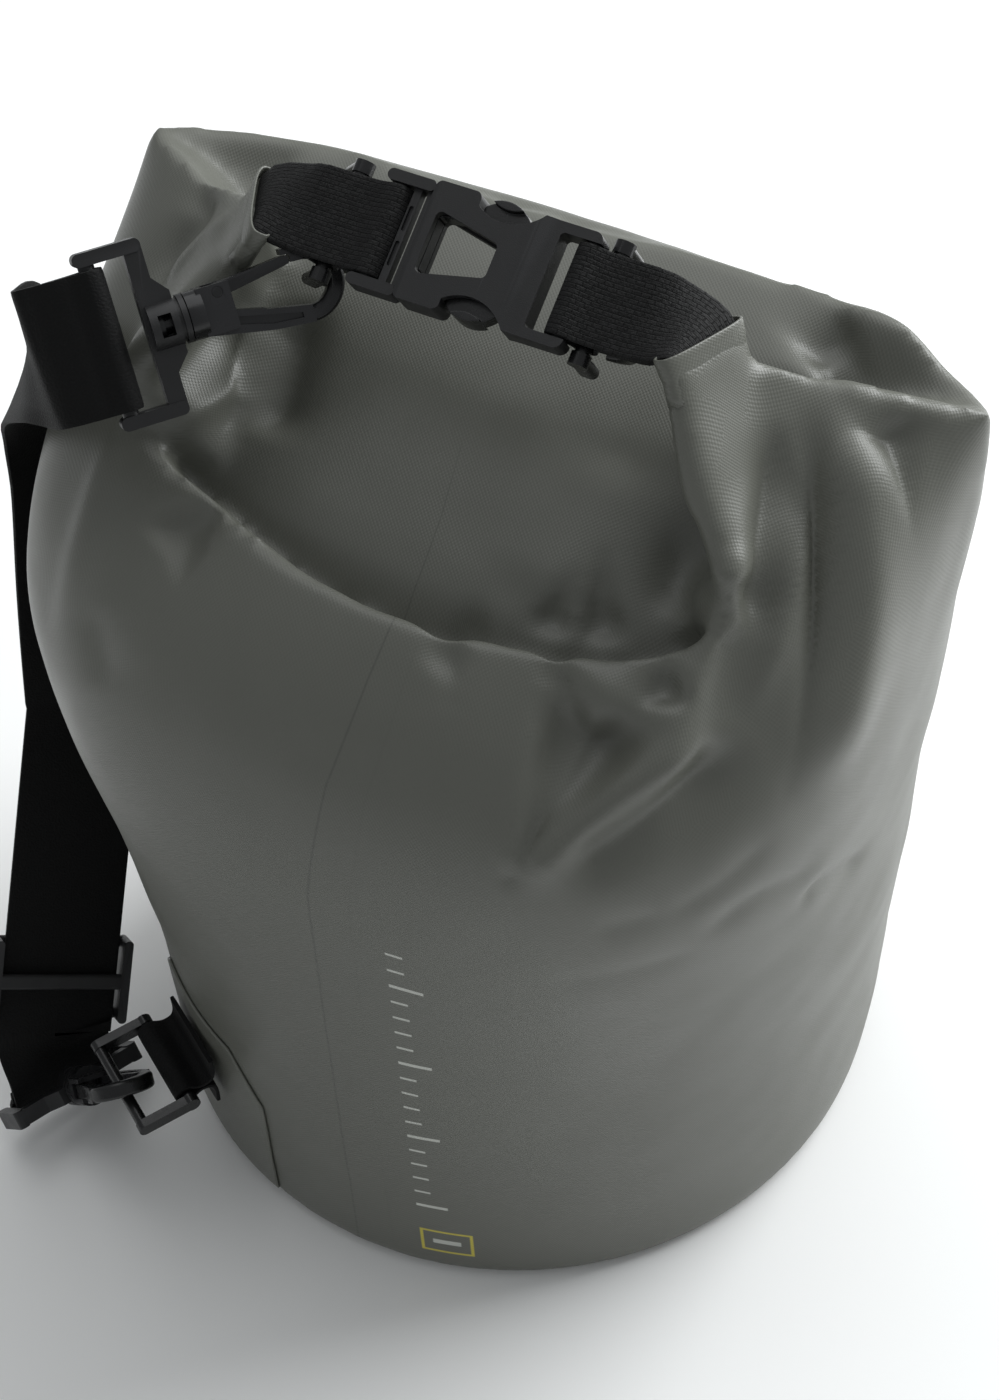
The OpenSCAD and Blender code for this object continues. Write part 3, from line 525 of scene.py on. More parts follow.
def tangent_at(path, i):
    return (path[min(len(path) - 1, i + 1)] - path[max(0, i - 1)]).normalized()


def roll_width(i):
    """Direction across the flat of the roll: its ends turn outwards where the webbing leaves."""
    last = len(roll_line) - 1
    end = Vector((-0.42, 0.9, -0.06)) if i < last / 2 else Vector((0.27, 0.96, -0.1))
    inward = soft(min(i, last - i) / ROLL_STEPS)
    return across(end.lerp(Vector((0, 1, 0.02)), inward), tangent_at(roll_line, i))


def roll_size(near):
    """Half width and half thickness of the roll, near steps away from its open end."""
    swell = float(soft(near / ROLL_STEPS))
    return ROLL_HALF_W + ROLL_SWELL_W * swell, ROLL_HALF_T + ROLL_SWELL_T * swell


def oval(centre, tangent, width, half_w, half_t, count, square=0.6):
    """A flattened ring of points round a path."""
    thick = width.cross(tangent).normalized()
    turn = [2 * math.pi * j / count for j in range(count)]
    return [centre + width * half_w * power(math.cos(k), square)
            + thick * half_t * power(math.sin(k), square) for k in turn]


def roll_rings(side):
    """One upturned end of the roll; its middle lies hidden under the roof sheet."""
    last = len(roll_line) - 1
    rings = []
    for k in range(1, 25):
        i = k if side == "left" else last - k
        half_w, half_t = roll_size(k)
        rings.append(oval(roll_line[i], tangent_at(roll_line, i), roll_width(i), half_w, half_t, 24))
    return rings


print("roll length", round(sum((b - a).length for a, b in zip(roll_line, roll_line[1:]))), "mm")


# %% Side gussets and roof sheet
# Each gusset has three lines from the ear to the mouth: its ridge, its front foot and its back foot.
GUSSET_R = ([(133, 27, 303), (118, 21, 305.5), (100, 15, 309), (85, 10, 313), (73, 6, 318)],
            [(133, 24, 285), (124, 2, 266), (112, -14, 256), (102, -22, 254), (90, -26, 262)],
            [(131, 29, 292), (116, 32, 292), (98, 28, 286), (84, 20, 284), (72, 14, 284)])
GUSSET_L = ([(-124, 36, 303), (-112, 27, 304), (-96, 18, 308), (-81, 11, 313), (-69, 7, 318)],
            [(-124, 30, 285), (-116, 4, 266), (-104, -14, 256), (-96, -22, 254), (-86, -26, 262)],
            [(-122, 38, 292), (-108, 38, 292), (-92, 31, 286), (-80, 21, 284), (-68, 14, 284)])


def gusset_rings(lines):
    rings = []
    for ridge, fore, back in zip(*[smooth_path(line, 6) for line in lines]):
        under = (fore + back) / 2 - Vector((0, 0, 12))
        down = [ridge.lerp(fore, k) for k in (0.06, 0.3, 0.6)]
        up = [ridge.lerp(back, k) for k in (0.5, 0.06)]
        rings.append([ridge] + down + [fore, under, back] + up)
    return rings


RIDGE_Z = 300
ROOF_RIDGE = [(-84, 52, 299), (-40, 51, 300), (0, 50, 300), (45, 53, 300), (88, 51, 304)]
ROOF_CREASE = [(-88, -38, 257), (-50, -53, 252), (-10, -60, 249), (40, -61, 247), (88, -46, 247)]
ROOF_FALL = ((0, RIDGE_Z), (0.25, 293.5), (0.5, 283.5), (0.7, 272.5), (0.85, 263.5), (0.94, 257), (1, 249))


def roof_rings():
    """Slices of the roof sheet, from left to right: far ridge, down to the front crease, back below."""
    rings = []
    for r, c in zip(smooth_path(ROOF_RIDGE, 8), smooth_path(ROOF_CREASE, 8)):
        row = []
        for v in np.linspace(0, 1, 15):
            p = r.lerp(c, float(v))
            row.append(Vector((p.x, p.y, table(v, *ROOF_FALL) + (r.z - RIDGE_Z) * (1 - float(v)))))
        rings.append(row + [Vector((c.x, c.y + 4, 225)), Vector((r.x, r.y - 6, 270))])
    return rings


print("roof sheet slices:", len(roof_rings()))


# %% [markdown]
# ## Fusing and relaxing the fabric
# Overlapping forms are fused by a voxel remesh: it wraps one even skin over them all, as a fabric would lie.
# The remesh leaves small steps, so the net is relaxed by bmesh's own smoothing, which also rounds the hard
# joins into soft fillets.

# %% Fuse the forms
VOXEL, JOIN_PASSES = 2.05 * MM, 7


def fused_shell(voxel):
    """One even net over all the lofted forms, as a bmesh in metres."""
    forms = [wall_rings(), roll_rings("left"), roll_rings("right"), gusset_rings(GUSSET_R),
             gusset_rings(GUSSET_L), roof_rings()]
    bm = bmesh.new()
    for rings in forms:
        loft(bm, rings)
    bmesh.ops.triangulate(bm, faces=[f for f in bm.faces if len(f.verts) > 4])
    bmesh.ops.recalc_face_normals(bm, faces=bm.faces[:])
    bmesh.ops.scale(bm, vec=(MM, MM, MM), verts=bm.verts[:])
    rough = piece("bag_shell", bm, [pvc_wall], body=None)
    remesh = rough.modifiers.new("fuse", "REMESH")
    remesh.mode, remesh.voxel_size, remesh.adaptivity = "VOXEL", voxel, 0.0
    mesh = bpy.data.meshes.new_from_object(rough.evaluated_get(bpy.context.evaluated_depsgraph_get()))
    bpy.data.objects.remove(rough)
    bm = bmesh.new()
    bm.from_mesh(mesh)
    bpy.data.meshes.remove(mesh)
    return bm


def relax(bm, passes):
    """Moves every vertex half way to the middle of its neighbours, so many times."""
    for _ in range(passes):
        bmesh.ops.smooth_vert(bm, verts=bm.verts[:], factor=0.5, use_axis_x=True, use_axis_y=True,
                              use_axis_z=True)


shell = fused_shell(VOXEL)
relax(shell, JOIN_PASSES)
print("shell:", len(shell.verts), "vertices")


# %% [markdown]
# ## Folds
# Creases make the fabric read as heavy PVC. Each fold is a line along the surface with a depth and a width:
# positive depths are ridges, negative ones are valleys. The lines were traced on the photograph, so they are
# written in its pixels, and a ray from the camera carries each point onto the shell. Every vertex near a line
# then moves along its own normal, most on the line and less away from it, and the fold fades out towards its
# ends. This is what a sculptor's crease brush does, but written down, so it gives the same result each time.

# %% The folds: depth and half width in mm, and the line in photo pixels
FOLDS = {
    "fan_shadow": (-6, 9, [(550, 874), (605, 848), (655, 817), (706, 772), (748, 737)]),
    "fan_streak": (4, 6.5, [(620, 668), (602, 702), (582, 747), (555, 805), (534, 845)]),
    "strip_ridge": (4, 4.5, [(776, 405), (791, 470), (795, 512), (791, 572), (779, 632), (762, 680),
                             (747, 716)]),
    "tube_gap": (-6, 4, [(775, 420), (774, 480), (768, 540), (760, 600), (748, 640)]),
    "outer_ridge": (7, 12, [(806, 390), (836, 428), (858, 482), (864, 536), (859, 620), (843, 698),
                            (816, 758), (786, 791)]),
    "spoon_valley": (-5, 9, [(805, 362), (828, 345), (857, 330)]),
    "gusset_right": (2.2, 3, [(758, 352), (800, 372), (852, 391), (905, 406), (950, 418), (990, 429)]),
    "sheet_valley": (-5, 7, [(700, 514), (682, 557), (673, 603), (674, 650)]),
    "sheet_ridge": (2, 12, [(532, 612), (554, 581), (590, 511), (621, 453)]),
    "tuck_ridge": (4, 4, [(722, 545), (735, 600), (748, 636)]),
    "tuck_valley": (-4, 3, [(742, 578), (752, 612)]),
    "tuck_low": (2, 3, [(690, 632), (715, 625), (742, 638)]),
    "pleat_valley": (-6, 5, [(226, 184), (200, 208), (172, 246), (146, 300)]),
    "pleat_ridge": (3, 6, [(236, 216), (212, 234), (190, 256), (160, 292)]),
    "pleat_low": (-3, 5, [(232, 270), (210, 284), (190, 304)]),
    "hook_valley": (-7, 7.5, [(298, 300), (293, 349), (277, 401), (262, 438)]),
    "hook_ridge": (4, 6, [(262, 310), (243, 348), (230, 382), (240, 398)]),
    "hook_bright": (4.5, 5, [(156, 412), (193, 411), (219, 400), (240, 397), (247, 414)]),
    "fan_long": (4.5, 6.5, [(500, 874), (547, 858), (587, 828), (631, 792), (684, 758), (742, 720)]),
    "nick": (-1.2, 3, [(585, 864), (602, 862)]),
    "wave_1": (-1.4, 4, [(660, 920), (716, 890), (776, 835)]),
    "wave_2": (-1.4, 4, [(700, 940), (760, 897), (822, 866)]),
    "wave_3": (-2.2, 3.5, [(804, 912), (818, 885), (868, 857)]),
    "wave_4": (-1.3, 4, [(593, 933), (666, 915)]),
    "wave_5": (-1.1, 6, [(544, 982), (620, 975), (700, 950)]),
    "left_dent": (-2, 9, [(88, 605), (97, 645), (108, 690)]),
}
print("fold lines:", len(FOLDS))


# %% The darts: dents that narrow to a tip, with depth and half width at the wide end in mm
DARTS = {
    "crest_left": (-9, 15, [(440, 626), (448, 662), (449, 706)]),
    "crest_middle": (-9, 12, [(552, 652), (559, 680), (560, 714)]),
    "crest_right": (-8, 9, [(680, 676), (650, 694), (624, 718)]),
    "fan": (-19, 19, [(612, 690), (584, 745), (550, 808), (510, 880)]),
    "leaf": (-7.5, 10, [(794, 400), (808, 470), (814, 540), (814, 620), (804, 700), (785, 793)]),
    "left_facet": (-7, 15, [(180, 500), (186, 545), (176, 600)]),
    "right_side": (-6, 12, [(880, 410), (892, 460), (906, 528)]),
    "sheet_corner": (-7, 9, [(604, 650), (600, 600), (606, 545)]),
    "sheet_low": (-6, 8, [(548, 640), (556, 610), (580, 566)]),
}
print("darts:", len(DARTS))


# %% From the photograph onto the shell
def on_shell(tree, pixels):
    """Points of the shell, in mm, that the photograph shows along a line; a pixel beside it is left out."""
    points = []
    for x, y in pixels:
        right = (x - PHOTO[0] / 2) * SENSOR / PHOTO[1]
        down = (y - PHOTO[1] / 2) * SENSOR / PHOTO[1]
        ray = CAMERA_RIGHT * right - CAMERA_UP * down - CAMERA_BACK * LENS
        hit = tree.ray_cast(CAMERA_PLACE, ray.normalized())[0]
        if hit:
            points.append(hit / MM)
    return points


def beside(place, path):
    """For each place: the distance to the path, and how far along the path that is, from 0 to 1."""
    best, along = np.full(len(place), 1e9), np.zeros(len(place))
    lengths = np.r_[0, np.cumsum(np.linalg.norm(np.diff(path, axis=0), axis=1))]
    for i in range(len(path) - 1):
        step = path[i + 1] - path[i]
        u = np.clip((place - path[i]) @ step / max(step @ step, 1e-9), 0, 1)
        gap = np.linalg.norm(place - path[i] - u[:, None] * step, axis=1)
        closer = gap < best
        best[closer] = gap[closer]
        along[closer] = (lengths[i] + u * (lengths[i + 1] - lengths[i]))[closer]
    return best, along / lengths[-1]


print("lines to carry over:", len(FOLDS) + len(DARTS))


# %% Press the folds into the shell
CREASED, ROUNDED, WIDE_FOLD = 1.2, 1.6, 6.5
FADE, FOLD_END, DART_END, DART_TIP, FOLD_PASSES = 0.3, 0.12, 0.05, 0.1, 2
FOLD_REACH, FOLD_CORE, LEAST_CORE, FACING = 3, 0.6, 4, 1.6


def fold_shape(width, gap, along):
    """Fades towards both ends; narrow folds are creased and wide ones are rounded."""
    ends = soft(np.minimum(along, 1 - along) / FADE + FOLD_END)
    return ends * np.exp(-(gap / width) ** (CREASED if width < WIDE_FOLD else ROUNDED))


def dart_shape(width, gap, along):
    """A bowl with hard edges that keeps its slope while it narrows to the tip."""
    reach = np.clip(1 - along, DART_TIP, 1)
    return soft(along / FADE + DART_END) * reach * np.clip(1 - (gap / (width * reach)) ** 2, 0, 1)


def press(bm, lines, shape):
    """Moves every vertex near a line along its normal, by the line's depth and the given shape."""
    bm.normal_update()
    bm.verts.index_update()
    place = np.array([v.co for v in bm.verts]) / MM
    normal = np.array([v.normal for v in bm.verts])
    move = np.zeros(len(place))
    tree = BVHTree.FromBMesh(bm)
    for depth, width, pixels in lines.values():
        path = np.array(smooth_path(on_shell(tree, pixels), 4))
        low, high = path.min(0) - FOLD_REACH * width, path.max(0) + FOLD_REACH * width
        near = np.nonzero(np.all((place > low) & (place < high), axis=1))[0]
        gap, along = beside(place[near], path)
        mean = normal[near[gap < max(LEAST_CORE, FOLD_CORE * width)]].mean(0)
        agree = np.clip(normal[near] @ mean / np.linalg.norm(mean) * FACING, 0, 1)
        move[near] += depth * agree * shape(width, gap, along)
    # One averaging pass keeps neighbouring moves alike.
    ends = np.array([(e.verts[0].index, e.verts[1].index) for e in bm.edges])
    degree = np.bincount(ends.ravel(), minlength=len(place))
    around = [np.bincount(ends[:, k], move[ends[:, 1 - k]], len(place)) for k in (0, 1)]
    move = (move + (around[0] + around[1]) / degree) / 2
    for vert, height in zip(bm.verts, move):
        vert.co += vert.normal * float(height) * MM
    return np.abs(move).max()


deepest = max(press(shell, DARTS, dart_shape), press(shell, FOLDS, fold_shape))
relax(shell, FOLD_PASSES)
print(len(FOLDS) + len(DARTS), "folds, largest move", round(float(deepest), 1), "mm")


# %% [markdown]
# ## Finishing the shell
# A slow noise keeps the wide wall from looking like a machined cone, and the foot is pressed in for the base
# panel. Then two UV maps are laid: "threads" carries the weave in metres, round the wall and flat over the
# roof, and "wrap" is the unrolled wall, measured from the front seam, for the seam and the printed scale.

# %% Undulation and foot
# Length and height of the two noises, and the recess for the base panel.
WAVE, RIPPLE = (45 * MM, 0.7 * MM), (16 * MM, 0.22 * MM)
RECESS_R, RECESS_EDGE, RECESS_H = 110.5 * MM, 2.2 * MM, 2.6 * MM


def settle(bm):
    """Adds the slow noise above the foot, and presses the recess for the base panel into the foot."""
    bm.normal_update()
    for vert in bm.verts:
        gentle = sum(noise.noise(vert.co / length) * height for length, height in (WAVE, RIPPLE))
        radius = math.hypot(vert.co.x, vert.co.y)
        vert.co += vert.normal * gentle * float(soft((vert.co.z - 10 * MM) / (30 * MM)))
        if vert.co.z < 4 * MM and radius < RECESS_R:
            vert.co.z = max(vert.co.z, RECESS_H * float(soft((RECESS_R - radius) / RECESS_EDGE)))
        vert.co.z = max(vert.co.z, 0.0)


settle(shell)
print("lowest point", round(min(vert.co.z for vert in shell.verts) / MM, 2), "mm")


# %% UV maps and the finished shell
# The front seam leans to one side above 100 mm: heights and shifts in metres.
SEAM_Z, SEAM_U = (0.0, 0.1, 0.19, 0.23, 0.255, 0.268), (0.0, 0.0, 0.001, 0.006, 0.013, 0.018)


def lay_fabric_uv(mesh):
    """Lays the two UV maps, in metres, corner by corner."""
    corners = np.empty(len(mesh.loops), int)
    mesh.loops.foreach_get("vertex_index", corners)
    totals = np.empty(len(mesh.polygons), int)
    mesh.polygons.foreach_get("loop_total", totals)
    starts = np.r_[0, np.cumsum(totals)[:-1]]
    face = np.repeat(np.arange(len(totals)), totals)
    place = np.empty(len(mesh.vertices) * 3)
    mesh.vertices.foreach_get("co", place)
    place = place.reshape(-1, 3)[corners]
    normals = np.empty(len(mesh.polygons) * 3)
    mesh.polygons.foreach_get("normal", normals)
    upward = (normals.reshape(-1, 3)[:, 2] > 0.6)[face]
    girth = 2 * math.pi * BODY_R * MM
    around = BODY_R * MM * np.arctan2(place[:, 0], -place[:, 1])
    around -= np.round((around - around[starts][face]) / girth) * girth
    around -= np.interp(place[:, 2], SEAM_Z, SEAM_U)
    unrolled = np.c_[around, place[:, 2]]
    threads = np.where(upward[:, None], place[:, :2], unrolled)
    for name, values in (("threads", threads), ("wrap", unrolled)):
        layer = mesh.uv_layers.new(name=name)
        layer.data.foreach_set("uv", values.astype(np.float32).ravel())


bag_shell = piece("bag_shell", shell, [pvc_wall])
lay_fabric_uv(bag_shell.data)
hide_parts("body_tube", "rolled_top", "mouth_stiffener")
skin_tree = BVHTree.FromPolygons([v.co.copy() for v in bag_shell.data.vertices],
                                 [tuple(p.vertices) for p in bag_shell.data.polygons])
print("bag shell:", len(bag_shell.data.polygons), "faces")


# %% [markdown]
# ## Base panel and mouth hems
# The round base is a separate disc, welded in. It is a filled circle, inset twice for the weld ring and
# extruded. At each end of the roll the fabric's cut edge stands round the webbing: a sleeve that goes up
# the outside, over the edge and down the inside, so that the opening shows the fabric's real thickness.

# %% Base panel
PANEL_R, WELD_W, STEP_W, STEP_H = 108.2 * MM, 9 * MM, 1.2 * MM, 0.5 * MM
PANEL_T, PANEL_LIFT = 2.0 * MM, 0.5 * MM


def flat_uv(bm, axes=(0, 1)):
    """A UV map in metres, taken from two of the axes."""
    layer = bm.loops.layers.uv.new("threads")
    for face in bm.faces:
        for loop in face.loops:
            loop[layer].uv = (loop.vert.co[axes[0]], loop.vert.co[axes[1]])


panel = bmesh.new()
bmesh.ops.create_circle(panel, cap_ends=True, segments=128, radius=PANEL_R)
bmesh.ops.inset_region(panel, faces=panel.faces[:], thickness=WELD_W, depth=0.0)
middle = max(panel.faces, key=lambda face: face.calc_area())
bmesh.ops.inset_region(panel, faces=[middle], thickness=STEP_W, depth=-STEP_H)
raised = bmesh.ops.extrude_face_region(panel, geom=panel.faces[:])["geom"]
top = [part for part in raised if isinstance(part, bmesh.types.BMVert)]
bmesh.ops.translate(panel, vec=(0, 0, PANEL_T), verts=top)
bmesh.ops.translate(panel, vec=(0, 0, PANEL_LIFT), verts=panel.verts[:])
bmesh.ops.recalc_face_normals(panel, faces=panel.faces[:])
flat_uv(panel)
base_panel = piece("base_panel", panel, [pvc_plain], smooth=False)
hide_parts("base_disc")

print("base panel:", len(base_panel.data.polygons), "faces")


# %% Mouth hems
HEM_STEPS, HEM_SIDES, HEM_SINK, HEM_ROUND = 5, 36, 1.6, 0.3 * MM
HEM_OUTSIDE, HEM_INSIDE = 0.1, -0.6
for side in ("left", "right"):
    last = len(roll_line) - 1
    order = list(range(HEM_STEPS, -1, -1)) if side == "left" else list(range(last - HEM_STEPS, last + 1))
    rings = []
    for grow, steps in ((HEM_OUTSIDE, order), (HEM_INSIDE, order[::-1])):
        for i in steps:
            near = min(i, last - i)
            sink = HEM_SINK * float(soft((near - 1) / (HEM_STEPS - 1))) if grow > 0 else 0.0
            half_w, half_t = roll_size(near)
            rings.append(oval(roll_line[i] * MM, tangent_at(roll_line, i), roll_width(i),
                              (half_w + grow - sink) * MM, (half_t + grow - sink) * MM, HEM_SIDES))
    hem = bmesh.new()
    stack = loft(hem, rings, capped=False)
    ends = [hem.edges.get((r[i - 1], r[i])) for r in (stack[0], stack[-1]) for i in range(len(r))]
    bmesh.ops.bridge_loops(hem, edges=ends)
    bmesh.ops.recalc_face_normals(hem, faces=hem.faces[:])
    lip = [hem.edges.get((r[j - 1], r[j])) for r in stack[HEM_STEPS:HEM_STEPS + 2] for j in range(HEM_SIDES)]
    bmesh.ops.bevel(hem, geom=lip, offset=HEM_ROUND, segments=2, profile=0.5, affect="EDGES", material=-1)
    flat_uv(hem, (1, 2))
    mouth_hem = piece("mouth_hem_" + side, hem, [pvc_plain])
    print(mouth_hem.name, len(mouth_hem.data.polygons), "faces")


# %% [markdown]
# ## Anchor patch
# A chamfered patch is welded low on the wall and carries the strap's lower loop. It is a grid whose rows are
# as wide as the patch is at that height, laid on the wall by casting a ray inwards at every point. Solidify
# gives it the fabric's thickness, and the bevel softens the cut edge as a hot weld does.

# %% Anchor patch
PATCH_MID, PATCH_HALF, PATCH_STAND, PATCH_T = 39, 33, 1.0 * MM, 0.9 * MM
PATCH_WIDTHS = ((6, 34), (54, 34), (72, 20))
ANCHOR_A = math.radians(-123)
ANCHOR_OUT = Vector((math.cos(ANCHOR_A), math.sin(ANCHOR_A), 0))
ANCHOR_SIDE = Vector((-math.sin(ANCHOR_A), math.cos(ANCHOR_A), 0))


def on_wall(angle, z, stand):
    """The point of the bag's wall at an angle and height, a little proud of it."""
    out = Vector((math.cos(angle), math.sin(angle), 0))
    hit, normal = skin_tree.ray_cast(out * 0.2 + Vector((0, 0, z)), -out)[:2]
    return hit + normal * stand


patch = bmesh.new()
bmesh.ops.create_grid(patch, x_segments=30, y_segments=30, size=1.0)
layer = patch.loops.layers.uv.new("threads")
flat_place = {}
for vert in patch.verts:
    z = (PATCH_MID + PATCH_HALF * vert.co.y) * MM
    wide = table(z / MM, *PATCH_WIDTHS) * MM
    flat_place[vert] = (vert.co.x * wide, z)
for face in patch.faces:
    for loop in face.loops:
        loop[layer].uv = flat_place[loop.vert]
for vert, (sideways, z) in flat_place.items():
    vert.co = on_wall(ANCHOR_A + sideways / (BODY_R * MM), z, PATCH_STAND)
bmesh.ops.recalc_face_normals(patch, faces=patch.faces[:])
if sum(face.normal.dot(ANCHOR_OUT) for face in patch.faces) < 0:
    bmesh.ops.reverse_faces(patch, faces=patch.faces[:])
bmesh.ops.solidify(patch, geom=patch.faces[:], thickness=PATCH_T)
bmesh.ops.recalc_face_normals(patch, faces=patch.faces[:])
anchor_patch = piece("anchor_patch_fabric", patch, [pvc_plain])
soften = anchor_patch.modifiers.new("weld edge", "BEVEL")
soften.width, soften.segments = 0.35 * MM, 2
soften.limit_method, soften.angle_limit = "ANGLE", math.radians(50)
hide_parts("anchor_patch")
print("anchor patch:", len(anchor_patch.data.polygons), "faces")


# %% [markdown]
# ## Webbing as a ribbon along a path
# Webbing is flat, bends only one way at a time and keeps its width, so it is lofted along a path with a
# direction across it at every point. Its UV map takes the length along the strap and the place across it,
# both in metres, for the weave. The same function makes every strap and loop.

# %% Ribbon function
RIBBON_SIDES, RIBBON_SQUARE, BAR_TURN = 28, 0.22, 3.25


def ribbon(name, path, widths, half_w, half_t, material, node=None):
    """A flat strap in mm along path; widths gives the direction across it."""
    rings, lengths = [], [0.0]
    for i, point in enumerate(path):
        tangent = tangent_at(path, i)
        flat = across(widths[i], tangent)
        section = oval(point, tangent, flat, half_w, half_t, RIBBON_SIDES, RIBBON_SQUARE)
        rings.append([p * MM for p in section])
        if i:
            lengths.append(lengths[-1] + (point - path[i - 1]).length * MM)
    bm = bmesh.new()
    stack = loft(bm, rings)
    bmesh.ops.recalc_face_normals(bm, faces=bm.faces[:])
    layer = bm.loops.layers.uv.new("threads")
    turn = [half_w * power(math.cos(2 * math.pi * j / RIBBON_SIDES), RIBBON_SQUARE) * MM
            for j in range(RIBBON_SIDES)]
    spot = {vert: (lengths[i], turn[j]) for i, ring in enumerate(stack) for j, vert in enumerate(ring)}
    for face in bm.faces:
        for loop in face.loops:
            loop[layer].uv = spot[loop.vert]
    strap = piece(name, bm, [material])
    strap.data.set_sharp_from_angle(angle=math.radians(40))
    if node:
        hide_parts(node)
    return strap


def densify(path, widths, steps):
    """Smooths a strap's path and its directions together."""
    return smooth_path(path, steps), smooth_path(widths, steps)


def turn_angles(first, last):
    """The angles of a fold round a bar, every 20 degrees."""
    return [math.radians(a) for a in range(first, last + 1, 20)]


print("a fold round a bar is", 2 * BAR_TURN, "mm across")


# %% [markdown]
# ## Closure webbing
# Each closure webbing comes out of the roll, runs to its half of the buckle, turns round the bar and comes
# back underneath, where a keeper fold holds the D-ring. The visible strap is two layers sewn together. The
# buckle leans back by 31 degrees, so a small function turns buckle coordinates into bag coordinates.

# %% Closure webbing
LEAN = math.radians(31)
BUCKLE_O = Vector((3, -4, BUCKLE_Z))
BUCKLE_UP = Vector((0, math.cos(LEAN), math.sin(LEAN)))
MALE_BAR, FEMALE_BAR, RING_L, RING_R, RING_DROP = -27.5, 28.0, -41.5, 34.3, 3.8


CLOSURE_HALF, PLY_HALF, SEWN_HALF = 12.5, 0.74, 1.5


def lean(x, y, z):
    """From the buckle's own coordinates to the bag's, in mm."""
    back = y * math.cos(LEAN) - z * math.sin(LEAN)
    up = y * math.sin(LEAN) + z * math.cos(LEAN)
    return BUCKLE_O + Vector((x, back, up))


def closure(side):
    """The webbing of one side: the ply round the bar and the keeper, and the sewn strap into the roll."""
    s = -1 if side == "left" else 1
    bar, keeper, far = (MALE_BAR, RING_L, -49) if side == "left" else (FEMALE_BAR, RING_R, 47)
    ply = [(far, -0.76), (keeper + s * 5.0, -0.9)]
    for k in turn_angles(10, 170):
        drop = -RING_DROP - BAR_TURN * math.sin(k) + 0.3 * math.cos(k) ** 2
        ply.append((keeper + s * BAR_TURN * math.cos(k), drop))
    if side == "left":
        ply += [(keeper + 5.0, -0.9)]
    ply += [(bar - s * BAR_TURN * math.cos(k), BAR_TURN * math.sin(k)) for k in turn_angles(-110, 110)]
    ply += [(bar + s * 4.5, 1.5), (bar + s * 9.0, 0.76), (far, 0.76)]
    loop_path = smooth_path([lean(x, 0, z) for x, z in ply], 3)
    loop = ribbon("closure_loop_" + side, loop_path, [BUCKLE_UP] * len(loop_path), CLOSURE_HALF, PLY_HALF,
                  basket_webbing)
    last = len(roll_line) - 1
    inside = [i if side == "left" else last - i for i in (0, 5)]
    knots = [lean(-47, 0, 0), lean(-53, 0, -0.4)] if side == "left" else [lean(45, 0, 0), lean(52, 0, -0.3)]
    turn = [BUCKLE_UP, BUCKLE_UP.lerp(roll_width(inside[0]), 0.25)]
    path, widths = densify(knots + [roll_line[i] for i in inside], turn + [roll_width(i) for i in inside], 5)
    return ribbon("closure_strap_" + side, path, widths, CLOSURE_HALF, SEWN_HALF, basket_webbing,
                  node="closure_webbing_" + side)


closure_left, closure_right = closure("left"), closure("right")
print("closure webbing:", closure_left.name, closure_right.name)


# %% [markdown]
# ## Shoulder strap
# The strap hangs from the upper frame, falls down the left side of the bag and ends in the lower frame. Its
# two sewn ends are folds round the frame bars. The path repeats the route of the CAD strap, so the slider,
# which rides on the straight lower run, still fits round it.

# %% Strap route
# H runs along a hook, W or F across the strap, N outwards and U up the strap.
RING_REACH, HOOK_L, STRAP_HALF, STRAP_T, ANCHOR_STAND = 8, 54, 19, 0.85, 13
UP_H = Vector((-0.665, -0.746, -0.02)).normalized()
UP_W = across((0.464, -0.393, -0.794), UP_H)
UP_N = UP_H.cross(UP_W)
ring_turn = math.radians(35)
UP_LEG = lean(RING_L - RING_REACH * math.sin(ring_turn), -13.7 - 1.7,
              -RING_DROP - RING_REACH * math.cos(ring_turn))
UP_BAR = UP_LEG + UP_H * (2.4 + HOOK_L)
ANCHOR_BAR = ANCHOR_OUT * (BODY_R + ANCHOR_STAND) + Vector((0, 0, 50))
dip = math.radians(4)
ANCHOR_LEG = ANCHOR_OUT * math.cos(dip) - Vector((0, 0, math.sin(dip)))
LOW_H = Vector((-0.64, 0.20, -0.70)).normalized()
LOW_F = across((-0.36, -0.93, 0.13), LOW_H)
LOW_BAR = ANCHOR_BAR + ANCHOR_LEG * (14.5 + 1.9) + LOW_H * (0.6 + HOOK_L)
LOW_U = across((0.02, 0.3, 0.95), LOW_F)
low_s = LOW_BAR + LOW_U * 14.6
bend = UP_BAR + UP_H * 10 - UP_N * 9
run_a, run_b = LOW_BAR + LOW_U * 26, Vector((-133, -38, 118))
run_w = across((-0.55, -0.83, 0), (run_b - run_a).normalized())


def folded_end(bar, along, width, tab):
    """Knots of a strap end: from the sewn tab on the inner side, round the frame bar, to the outer side."""
    out = along.cross(width)
    turn = [(-BAR_TURN * math.cos(k), BAR_TURN * math.sin(k)) for k in turn_angles(-110, 110)]
    places = [(tab, -0.9), (tab - 4, -1.1), (4.5, -1.6)] + turn + [(4.5, 1.5)]
    return [bar + along * x + out * z for x, z in places]


